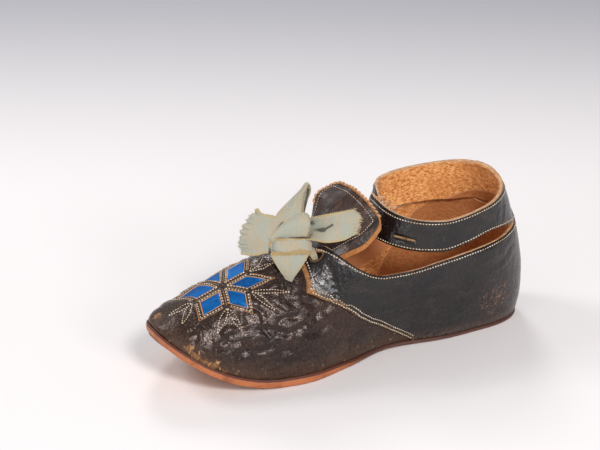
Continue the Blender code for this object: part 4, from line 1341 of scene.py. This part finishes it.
# Tongue: dark red-brown leather with a tan lining, which stands proud of its curved end as a whipped,
# scalloped edge. Its foot is caught under the tabs, and it leans over to the near side.
TONGUE_WALL = 1.2
TONGUE_TABLE = {
    "x": (-34, -28, -22, -18, -14, -9, -3.6, -1.8),
    "z": (35.6, 38.2, 41.6, 45, 48.6, 52.2, 55.4, 56.6),
    "half": (9.5, 10.8, 11, 10.5, 10.9, 13, 12.2, 9.6),
    "lean": (0, 0, 0, 0.08, 0.30, 0.42, 0.34, 0.33),
    "droop": (1.5, 2.8, 4.8, 7.2, 6.8, 4.6, 3.8, 2.6),
    "skew": (0, 0, 0, 0.06, 0.16, 0.25, 0.30, 0.30),
}


def lining_height(x, y):
    """Height of the lining above each point; only right where the throat isn't open."""
    angle = angle_at(x, TOP_TOE_X, TOP_HEEL_X)
    low = np.zeros(len(x))
    high = np.ones(len(x))
    for _ in range(24):
        middle = (low + high) / 2.0
        outside = -last_point(angle, middle, 0.0)[:, 1] > np.abs(y)
        low = np.where(outside, middle, low)
        high = np.where(outside, high, middle)
    return last_point(angle, (low + high) / 2.0, 0.0)[:, 2]


def tongue_shape(across, along):
    side = 2.0 * across - 1.0
    x = TONGUE_TABLE["x"][0] + (TONGUE_TABLE["x"][-1] - TONGUE_TABLE["x"][0]) * along
    columns = ("half", "z", "lean", "droop", "skew")
    half, z, lean, droop, skew = (read(TONGUE_TABLE, "x", column, x) for column in columns)
    y = half * side
    z = z + lean * y - droop * side**2
    x = x - skew * y
    under = np.minimum(z, lining_height(x, y) - TONGUE_WALL - 2.0 * GAP - 0.1 * np.abs(y))
    closed = np.abs(y) >= -top_plan(angle_at(x, TOP_TOE_X, TOP_HEEL_X), 0.0)[:, 1] - 2.4
    z = np.where((x < -10.0) & closed, under, z)
    return np.column_stack((x, y, z)), np.column_stack((side, along, half))


tongue_mesh = spread_grid("tongue_leather", 90, 110, tongue_shape)
tongue_points = points_of(tongue_mesh)
tongue_out = normals_of(tongue_mesh)
if tongue_out[:, 2].sum() < 0.0:
    tongue_mesh.flip_normals()
    tongue_out = -tongue_out
tongue_cut = get_numbers(tongue_mesh, "cut")
tongue_waves = np.sin(tongue_points[:, 1] * 0.9 + tongue_points[:, 0] * 0.25)
tongue_lift = 0.10 * leather_lumps(tongue_points, 9.0, 21)
tongue_lift += 0.25 * tongue_waves * ease(-20.0, -8.0, tongue_points[:, 0])
tongue_lift *= ease(-22.0, -12.0, tongue_points[:, 0])
tongue_rim = (1.0 - np.abs(tongue_cut[:, 0])) * tongue_cut[:, 2]
tongue_end = (1.0 - tongue_cut[:, 1]) * 33.0
tongue_lift -= 0.25 * (1.0 - ease(0.0, 1.6, np.minimum(tongue_rim, tongue_end)))
set_points(tongue_mesh, tongue_points + tongue_out * (TONGUE_WALL + tongue_lift)[:, None])
set_numbers(tongue_mesh, "rim", tongue_rim * np.sign(tongue_cut[:, 0] + 1e-6), tongue_end, tongue_cut[:, 0])
tongue_tree = tree_of(tongue_mesh)

tongue_finish = Finish("dark red brown leather of the tongue")
tongue_at = tongue_finish.spots(shift=(-MIDDLE_X, 0.0, 0.0))
rim_gap, end_gap, _ = tongue_finish.cut("rim")
tongue_fine = tongue_finish.noise(tongue_at, 1.8, 4.0, 0.65)
tongue_broad = tongue_finish.noise(tongue_at, 0.11, 4.0, 0.6, 0.5)
tongue_streak = tongue_finish.noise(tongue_finish.spots((0.35, 1.2, 0.35)), 0.5, 3.0, 0.6, 0.4)
near_rim = (rim_gap * -1.0).rise(0.0, 0.01) * (rim_gap * -1.0).rise(1.2, 1.0)
tan_rim = near_rim.most((end_gap + (tongue_fine - 0.5) * 0.5).rise(0.75, 0.55))
tongue_tone = tongue_finish.layered(
    tongue_finish.mix(tongue_broad.rise(0.35, 0.65), (0.020, 0.0095, 0.0065), (0.046, 0.022, 0.016)),
    (tongue_streak.rise(0.52, 0.66) * 0.6, (0.115, 0.060, 0.044)),
    (tongue_streak.rise(0.46, 0.36) * 0.7, (0.008, 0.0045, 0.0035)),
    (tan_rim, tongue_finish.mix(tongue_fine.rise(0.3, 0.7), (0.50, 0.205, 0.052), (0.30, 0.105, 0.028))),
)
tongue_glint = tongue_finish.noise(tongue_at, 0.6, 1.5, 0.5)
tongue_bump = tongue_finish.bump(tongue_glint - tan_rim * 1.5, 1.0, 0.25)
tongue_rough = tongue_fine * 0.25 + 0.30 + tan_rim * 0.35
tongue_finish.coat(Base_Color=tongue_tone, Roughness=tongue_rough, Normal=tongue_bump)
in_place(tongue_mesh)
tongue = new_piece("tongue_leather", tongue_mesh, tongue_finish.material, *inner_sides)
walled(tongue, TONGUE_WALL)
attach(tongue, "root")
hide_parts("tongue")


def tongue_path(across, along):
    points, _ = tongue_shape(np.array(across, float), np.array(along, float))
    return points + (0.0, 0.0, TONGUE_WALL)


NEAR_ROW = 0.115
FAR_ROW = 0.93
END_ROW = 1.0 - 0.085
ROW_START = 0.42
WHIPPED_END = 0.992
work = bmesh.new()
near_row = tongue_path(np.full(40, NEAR_ROW), np.linspace(ROW_START, END_ROW, 40))
end_row = tongue_path(np.linspace(NEAR_ROW, FAR_ROW, 40), np.full(40, END_ROW))
far_row = tongue_path(np.full(40, FAR_ROW), np.linspace(END_ROW, ROW_START, 40))
for row in (near_row, end_row, far_row):
    sew(work, row, tongue_tree, 0.95, (0.7, 0.34, 0.28))
sewn_piece("tongue_stitching", work, thread_finish.material)
work = bmesh.new()
whipped_end = tongue_path(np.linspace(0.0, 1.0, 60), np.full(60, WHIPPED_END))
whipped_side = tongue_path(np.full(30, 1.0), np.linspace(WHIPPED_END, 0.7, 30))
sew(work, np.vstack((whipped_end, whipped_side)), tongue_tree, 1.7, (2.3, 1.0, 1.3), 0.45, 0.5)
sewn_piece("tongue_whipped_edge", work, edge_finish.material)


# Ribbon: a half-inch ribbed ribbon gone pale grey-green with age, its edges and cut ends yellowed and
# frayed, passed through the two eyelets and tied in a short bow with one standing loop and three ends.
KNOT = np.array((-32.8, -6.4, 46.5))
RIBBON = 0.7
CLOTH = 0.28
RIB_PITCH = 0.62
THREAD_PITCH = 0.22
# Nets of points that each piece of the bow passes through, as right, up and out from the knot, in rows
# that follow the ribbon's length
LEFT_END = (
    ((-3, -2.6, -0.6), (-3, 1, -0.2), (-3, 4.5, -0.4), (-2.6, 8.4, -1.2)),
    ((-8.6, -3.2, 0.1), (-9, 0.8, 1), (-8.4, 5.2, 0.7), (-6.4, 10, -0.6)),
    ((-13, -4.2, -0.4), (-13.4, 0.3, 0.5), (-12.4, 5.6, 0.5), (-10, 10.7, -0.8)),
    ((-17, -3.6, -2.2), (-18, 0.5, -1.6), (-16.2, 6.6, -1.4), (-11.8, 12.5, -1.8)),
)
STANDING_LOOP = (
    ((-7, 3, -0.6), (-2.5, 3.2, 0.4), (3, 3.5, 0.8)),
    ((-5.3, 9.7, -0.6), (-1.2, 10.4, 1), (3.6, 11, 1.5)),
    ((-1.2, 14.3, -0.4), (1.6, 15.2, 1.1), (4.2, 15.8, 1.2)),
    ((3.2, 18.6, -0.4), (4.4, 19.2, 0.5), (5.3, 19.4, 0.6)),
    ((5, 21, -0.9), (5.6, 21.4, -0.5), (6.2, 20.8, -0.4)),
    ((4.2, 18.8, -2.2), (5.4, 19, -1.8), (6.7, 18.7, -1)),
    ((0.5, 14.2, -2.8), (3, 15, -2.6), (5.6, 15.4, -1.2)),
    ((-3.8, 9.6, -2.6), (0.2, 10.2, -2.8), (4.6, 11, -1.4)),
    ((-5, 3.5, -2.2), (-1.5, 3.6, -2.2), (3, 3.8, -1.6)),
)
UPPER_FOLD = (
    ((-7.8, 1.2, -1.2), (-7.9, 1.8, -0.8), (-7.9, 2.2, 0), (-7.7, 1.9, 0.9), (-7.4, 0.8, 1.2)),
    ((-3.6, 3.6, -1.4), (-4, 5.4, -1), (-4.1, 5.9, 0.4), (-3.9, 4.6, 1.9), (-3.6, 0.8, 1.4)),
    ((0.2, 5, -1.6), (-0.4, 8.2, -1.2), (-0.4, 9, 0.6), (-0.2, 6.6, 2.7), (0, 0.8, 1.3)),
    ((3.4, 5.4, -1.4), (3, 9.9, -1), (3.1, 10.8, 1), (3.2, 7.8, 3.4), (3.2, 1.4, 1.6)),
    ((5.2, 6, -0.8), (5.4, 9.2, -0.2), (5.9, 10, 1.5), (6, 7.6, 3.6), (5.4, 2.6, 2.6)),
    ((5, 6.6, 0.6), (5.3, 8, 0.6), (6, 8.3, 1.7), (6.2, 6.9, 2.7), (5.3, 4.6, 2)),
)
RIGHT_END = (
    ((3.5, 2, 2.8), (4.6, 4.4, -0.3), (4.6, 6, -1), (4.8, 8.4, 0.9)),
    ((8.4, 1.4, 3.8), (9, 4.8, 0.9), (8.6, 6.6, -0.6), (7.6, 9.2, 1.6)),
    ((13, 0.4, 3.8), (13.4, 4.2, 3.1), (13.2, 7.2, 1.5), (12.6, 10.4, 2)),
    ((18.8, 1.2, 3.2), (18.8, 4.8, 3.9), (18.4, 8.4, 3.2), (18, 11.6, 2.2)),
    ((23.2, 3.4, 2.4), (24.2, 6.4, 3), (24.4, 9.6, 2.6), (22.5, 12.4, 1.6)),
)
TAIL = (
    ((-7, -2.6, 2.5), (0, -2.8, 3.1), (6.5, -2.6, 2.5)),
    ((-7.1, -4.3, 2.4), (-0.2, -4.5, 3), (6.1, -4.3, 2.5)),
    ((-4.8, -8.4, 2.2), (-0.6, -8.6, 2.5), (3.8, -8.2, 2.2)),
    ((-2.4, -12, 2.1), (-0.8, -12.2, 2.2), (1.2, -11.8, 2.1)),
    ((-1.4, -13.9, 2), (-0.8, -14.2, 2), (0.1, -13.9, 2)),
)
# The wrap goes right round the bundle: right and out of its middle line
WRAP_RING = (
    (-7.3, 0.4), (-5.2, 2.6), (0, 3.5), (5.2, 3), (7.5, 0.6), (5, -1.9), (0, -2.5), (-5, -2), (-7.3, 0.4),
)
WRAP = tuple(
    ((0.97 * x, -3.7, out - 0.3), (x, -2.0, out + 0.25), (x, 0.1, out), (0.98 * x, 1.9, out + 0.25))
    for x, out in WRAP_RING
)
# Painted shade deep in the folds of the bow, and yellow stain along the edges: two places as right, up and
# out from the knot, and how wide the line between them is
PAINTED_FOLD_SHADE = (
    ((6.1, 19.2, -1.6), (5.4, 15, -2), 0.7), ((5.4, 15, -2), (4.9, 9.8, -1.4), 0.9),
    ((-6.6, 2.1, 1.2), (-1, 1.8, 2.5), 0.4), ((-1, 1.8, 2.5), (6.6, 2.3, 2.6), 0.6),
    ((6.8, 3.8, 2.2), (7.4, 7, 0.2), 1.6), ((7.4, 5.6, 0.8), (11.6, 5, 1.8), 1.3),
    ((11.6, 5, 1.8), (14.4, 6.8, 2.2), 0.8), ((-7.6, -3, 0.6), (-7.9, 2.2, 0.6), 0.7),
    ((-6.2, 3.4, 0.9), (-2.6, 8, 0.6), 0.6), ((3.2, 8.6, 2.8), (5.8, 5.8, 3.2), 0.7),
)
STAINED = (
    ((-6.6, -3.4, 2), (-1, -3.6, 3.4), 1.1), ((-1, -3.6, 3.4), (3.4, -2.6, 3.4), 1.1),
    ((3.4, -2.6, 3.4), (6.8, -3.2, 1.6), 1.3), ((-5.6, 1.4, 2.6), (4.6, 1.7, 3.6), 0.5),
    ((-4.4, -0.8, 3.4), (3, -0.4, 3.9), 0.35), ((-7.8, -0.4, 0.8), (-7, 1.4, 1), 0.9),
    ((-3.8, 5.8, 1), (2, 9.6, 1.8), 0.4), ((2, 10.4, 1.4), (5.6, 9.6, 2), 0.6),
)
BOW_AXES = np.array([list(right), list(up), list(back)])

ribbon_finish = Finish("ribbed silk ribbon")
rib_along, rib_across, rib_edge = ribbon_finish.cut("weave")
ribbon_at = ribbon_finish.spots()
ribs = (rib_along * (2.0 * math.pi / RIB_PITCH)).wave()
threads = (rib_across * (2.0 * math.pi / THREAD_PITCH)).wave()
ribbon_blot = ribbon_finish.noise(ribbon_at, 0.22, 4.0, 0.6)
ribbon_fine = ribbon_finish.noise(ribbon_at, 2.5, 3.0, 0.6)
yellowed = (rib_edge + (ribbon_fine - 0.5) * 1.4).rise(0.9, 0.2)
ribbon_places = ribbon_finish.spots(shift=(-MIDDLE_X, 0.0, 0.0))
shares = []
for lines in (STAINED, PAINTED_FOLD_SHADE):
    share = None
    for start, end, wide in lines:
        ends = [tuple(KNOT + np.array(spot) @ BOW_AXES) for spot in (start, end)]
        near = (ribbon_finish.beside(ribbon_places, *ends) * (1.0 / wide)).rise(1.3, 0.1)
        share = near if share is None else share.most(near)
    shares.append((share + (ribbon_fine - 0.5) * 0.7).rise(0.15, 0.8))
ribbon_tone = ribbon_finish.layered(
    ribbon_finish.mix(ribbon_blot.rise(0.38, 0.62), (0.385, 0.40, 0.335), (0.45, 0.385, 0.275)),
    # Painted shade: the troughs between the ribs are coloured darker
    (ribs.rise(-0.1, -1.0) * 0.28, (0.26, 0.255, 0.18)),
    (yellowed * 0.7, (0.50, 0.345, 0.12)),
    (shares[0] * 0.75, (0.40, 0.255, 0.075)),
    # Painted shade: dark lines deep in the bow's folds, curls and pockets stand in for their shadows
    (shares[1] * 0.9, (0.055, 0.055, 0.035)),
)
ribbon_bump = ribbon_finish.bump(ribs * 0.5 + threads * 0.15 + ribbon_blot * 1.5, 0.7, 0.15)
ribbon_rough = ribbon_fine.rise(0.2, 0.8, 0.55, 0.75)
ribbon_finish.coat(Base_Color=ribbon_tone, Roughness=ribbon_rough, Normal=ribbon_bump)
ribbon_finish.coat(Sheen_Weight=0.25, Sheen_Roughness=0.4)

fray_finish = Finish("frayed threads")
fray_noise = fray_finish.noise(fray_finish.spots(), 1.2, 2.0)
fray_tone = fray_finish.mix(fray_noise.rise(0.35, 0.65), (0.64, 0.56, 0.36), (0.52, 0.38, 0.15))
fray_finish.coat(Base_Color=fray_tone, Roughness=fray_noise.rise(0.2, 0.8, 0.6, 0.8))
fray = bmesh.new()
chance = np.random.default_rng(12)
FRAY_HALF = 0.09


def fray_edge(points, way, every, long):
    """Short loose threads that stick out along an edge."""
    for p in evenly(points, every):
        ahead = (Vector(way).normalized() + Vector(chance.normal(size=3)) * 0.45).normalized()
        reach = long * chance.uniform(0.35, 1.0)
        side = ahead.orthogonal().normalized()
        turned = Matrix((ahead * reach, side * FRAY_HALF, ahead.cross(side) * FRAY_HALF)).transposed()
        matrix = Matrix.Translation(Vector(p) + ahead * reach * 0.6) @ turned.to_4x4()
        bmesh.ops.create_icosphere(fray, subdivisions=1, radius=1.0, matrix=matrix)


def net_weights(count, share):
    """How much each of the evenly spread rows of a net counts at a share along it."""
    x = share * (count - 1)
    i = np.clip(x.astype(int), 0, count - 2)
    f = x - i
    weights = np.zeros((len(share), count))
    steps = (
        -0.5 * f + f**2 - 0.5 * f**3,
        1 - 2.5 * f**2 + 1.5 * f**3,
        0.5 * f + 2 * f**2 - 1.5 * f**3,
        0.5 * (f**3 - f**2),
    )
    rows = np.arange(len(share))
    for offset, step in zip((-1, 0, 1, 2), steps):
        j = i + offset
        # Past an end, the net is taken to go on as it was
        past = (j < 0) | (j >= count)
        np.add.at(weights, (rows, np.clip(j, 0, count - 1)), np.where(past, 2.0 * step, step))
        np.add.at(weights, (rows, np.where(j < 0, 1, count - 2)), np.where(past, -step, 0.0))
    return weights


def bow_points(net, across, along, lift):
    net = np.array(net)
    rows = net_weights(net.shape[0], along)
    columns = net_weights(net.shape[1], across)
    plan = np.einsum("nr,nc,rck->nk", rows, columns, net)
    plan[:, 2] += lift(2.0 * across - 1.0, along)
    return KNOT + plan @ BOW_AXES


def ribbon_sheet(name, shape, size, node, flat, weave_scale, area=None, turned=False):
    """One piece of ribbon, from where shape puts its shares across and along."""

    def placed(across, along):
        side = 2.0 * across - 1.0
        edge = (1.0 - np.abs(side)) * flat[0] / 2.0 / MM
        weave = (along * weave_scale[1], side * weave_scale[0])
        if turned:
            weave = weave[::-1]
        return shape(across, along), np.column_stack((*weave, edge))

    mesh = spread_grid(name, size[0], size[1], placed)
    mesh.attributes["cut"].name = "weave"
    set_points(mesh, points_of(mesh) + normals_of(mesh) * RIBBON * 0.5)
    in_place(mesh)
    piece = new_piece(name, mesh, ribbon_finish.material)
    wall = piece.modifiers.new("cloth", "SOLIDIFY")
    wall.thickness = CLOTH * MM
    wall.offset = 0.0
    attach(piece, "root")
    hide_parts(node)


def bow_shape(net, lift):
    return lambda across, along: bow_points(net, across, along, lift)


def cut_end(shape, amount, seed, notches, start, way):
    """Draws a cut end back to an uneven line with small notches."""
    steps = np.random.default_rng(seed).uniform(-1.0, 1.0, 26)

    def drawn(across, along):
        uneven = np.interp(across, np.linspace(0.0, 1.0, 26), steps) * amount
        uneven = (uneven + notches[0] * np.sin(across * notches[1])) * ease(start, 1.0, along)
        return shape(across, along) + np.outer(uneven, way)

    return drawn


left_shape = bow_shape(LEFT_END, lambda s, t: 0.25 * np.sin(s * 5.0 + 1.0) * t + 0.15 * np.sin(t * 9.0 + s))
left_shape = cut_end(left_shape, 0.6, 4, (0.35, 60.0), 0.7, -BOW_AXES[0])
right_shape = bow_shape(RIGHT_END, lambda s, t: 0.2 * np.sin(s * 4.0 + t * 5.0))
right_shape = cut_end(right_shape, 0.5, 7, (0.3, 55.0), 0.75, BOW_AXES[0])
loop_shape = bow_shape(STANDING_LOOP, lambda s, t: 0.15 * np.sin(s * 6.0) * np.sin(math.pi * t))
fold_shape = bow_shape(UPPER_FOLD, lambda s, t: 0.22 * np.sin(t * 11.0 + s * 3.0) * np.maximum(s, 0.0))
wrap_shape = bow_shape(WRAP, lambda s, t: 0.12 * np.sin(t * 22.0 + s * 2.0))
tail_shape = bow_shape(TAIL, lambda s, t: 0.15 * np.sin(s * 7.0) * (1.0 - t))

# What the wrap holds: squares across and along, the node that each piece dresses, its flat size in metres,
# half the width and the length of its weave in millimetres, and its flat area where it is less than its size
HELD_BY_WRAP = (
    ("bow_left_end_ribbon", left_shape, (70, 50), "bow_left_end", (0.013, 0.0145), (6.5, 14.5), None),
    ("bow_right_end_ribbon", right_shape, (60, 80), "bow_right_end", (0.0105, 0.0205), (5.2, 20.5), None),
    ("bow_loop_ribbon", loop_shape, (40, 130), "bow_loop", (0.012, 0.038), (5.0, 38.0), 0.00027),
    ("bow_fold_ribbon", fold_shape, (50, 60), "bow_knot", (0.012, 0.014), (6.0, 14.0), None),
)
for name, shape, squares, node, flat, weave_scale, area in HELD_BY_WRAP:
    ribbon_sheet(name, shape, squares, node, flat, weave_scale, area)
ribbon_sheet(
    "bow_wrap_ribbon", wrap_shape, (30, 130), "bow_knot", (0.012, 0.034),
    (3.0, 34.0), 0.00022,
)
ribbon_sheet(
    "bow_tail_ribbon", tail_shape, (60, 50), "bow_tail", (0.0115, 0.012),
    (6.0, 11.0), 0.00009, True,
)

CROSSING_HALF = 1.8
CROSSING_LIFT = 0.5
CROSSING_REACH = 9.6
EYELET_Y = 7.2
EYELET_RUN = 2.4
CROSSING_TABLE = {
    "side": (-7.2, -4, 0, 4, 7.2),
    "x": (-26.6, -29.6, -31.2, -29.6, -26.6),
    "z": (43.2, 43.6, 43.8, 43.6, 43.2),
}


def crossing_shape(across, along):
    """From down in one eyelet, up over the tabs under the knot, and down in the other."""
    side = 2.0 * along - 1.0
    y = np.clip(side * CROSSING_REACH, -EYELET_Y, EYELET_Y)
    x = read(CROSSING_TABLE, "side", "x", y)
    z = read(CROSSING_TABLE, "side", "z", y)
    end = np.maximum(np.abs(side) * CROSSING_REACH - EYELET_Y, 0.0) / EYELET_RUN
    y = np.sign(side) * np.where(end > 0.0, EYELET_Y + 2.2 * np.sin(end * 1.5), np.abs(y))
    x = x + 1.8 * end
    z = z - 3.4 * end**2
    wide = CROSSING_HALF * (1.0 - 0.45 * end)
    gathered = 0.3 * np.sin(across * 14.0) * end
    from_middle = 2.0 * across - 1.0
    z = z + from_middle * CROSSING_LIFT * (1.0 - end) + gathered
    return np.column_stack((x + from_middle * wide, y, z))


ribbon_sheet(
    "ribbon_crossing_ribbon", crossing_shape, (24, 90), "ribbon_crossing", (0.010, 0.0215),
    (5.0, 22.0), 0.00011,
)

# The cut ends and the long edges that show: which way the threads lean, how far apart and how long they are
fray_row = np.linspace(0.0, 1.0, 40)
fray_edge(left_shape(fray_row, np.ones(40)), -BOW_AXES[0], 0.38, 0.85)
fray_edge(right_shape(fray_row, np.ones(40)), BOW_AXES[0], 0.42, 0.75)
fray_edge(tail_shape(np.linspace(0.0, 1.0, 12), np.ones(12)), -BOW_AXES[1], 0.3, 0.5)
fray_edge(left_shape(np.zeros(40), fray_row), -BOW_AXES[1], 0.6, 0.35)
fray_edge(left_shape(np.ones(40), fray_row), BOW_AXES[1], 0.6, 0.35)
fray_edge(right_shape(np.ones(40), fray_row), BOW_AXES[1], 0.8, 0.3)
fray_edge(wrap_shape(np.zeros(40), fray_row * 0.5), -BOW_AXES[1], 0.5, 0.35)
sewn_piece("frayed_threads", fray, fray_finish.material)
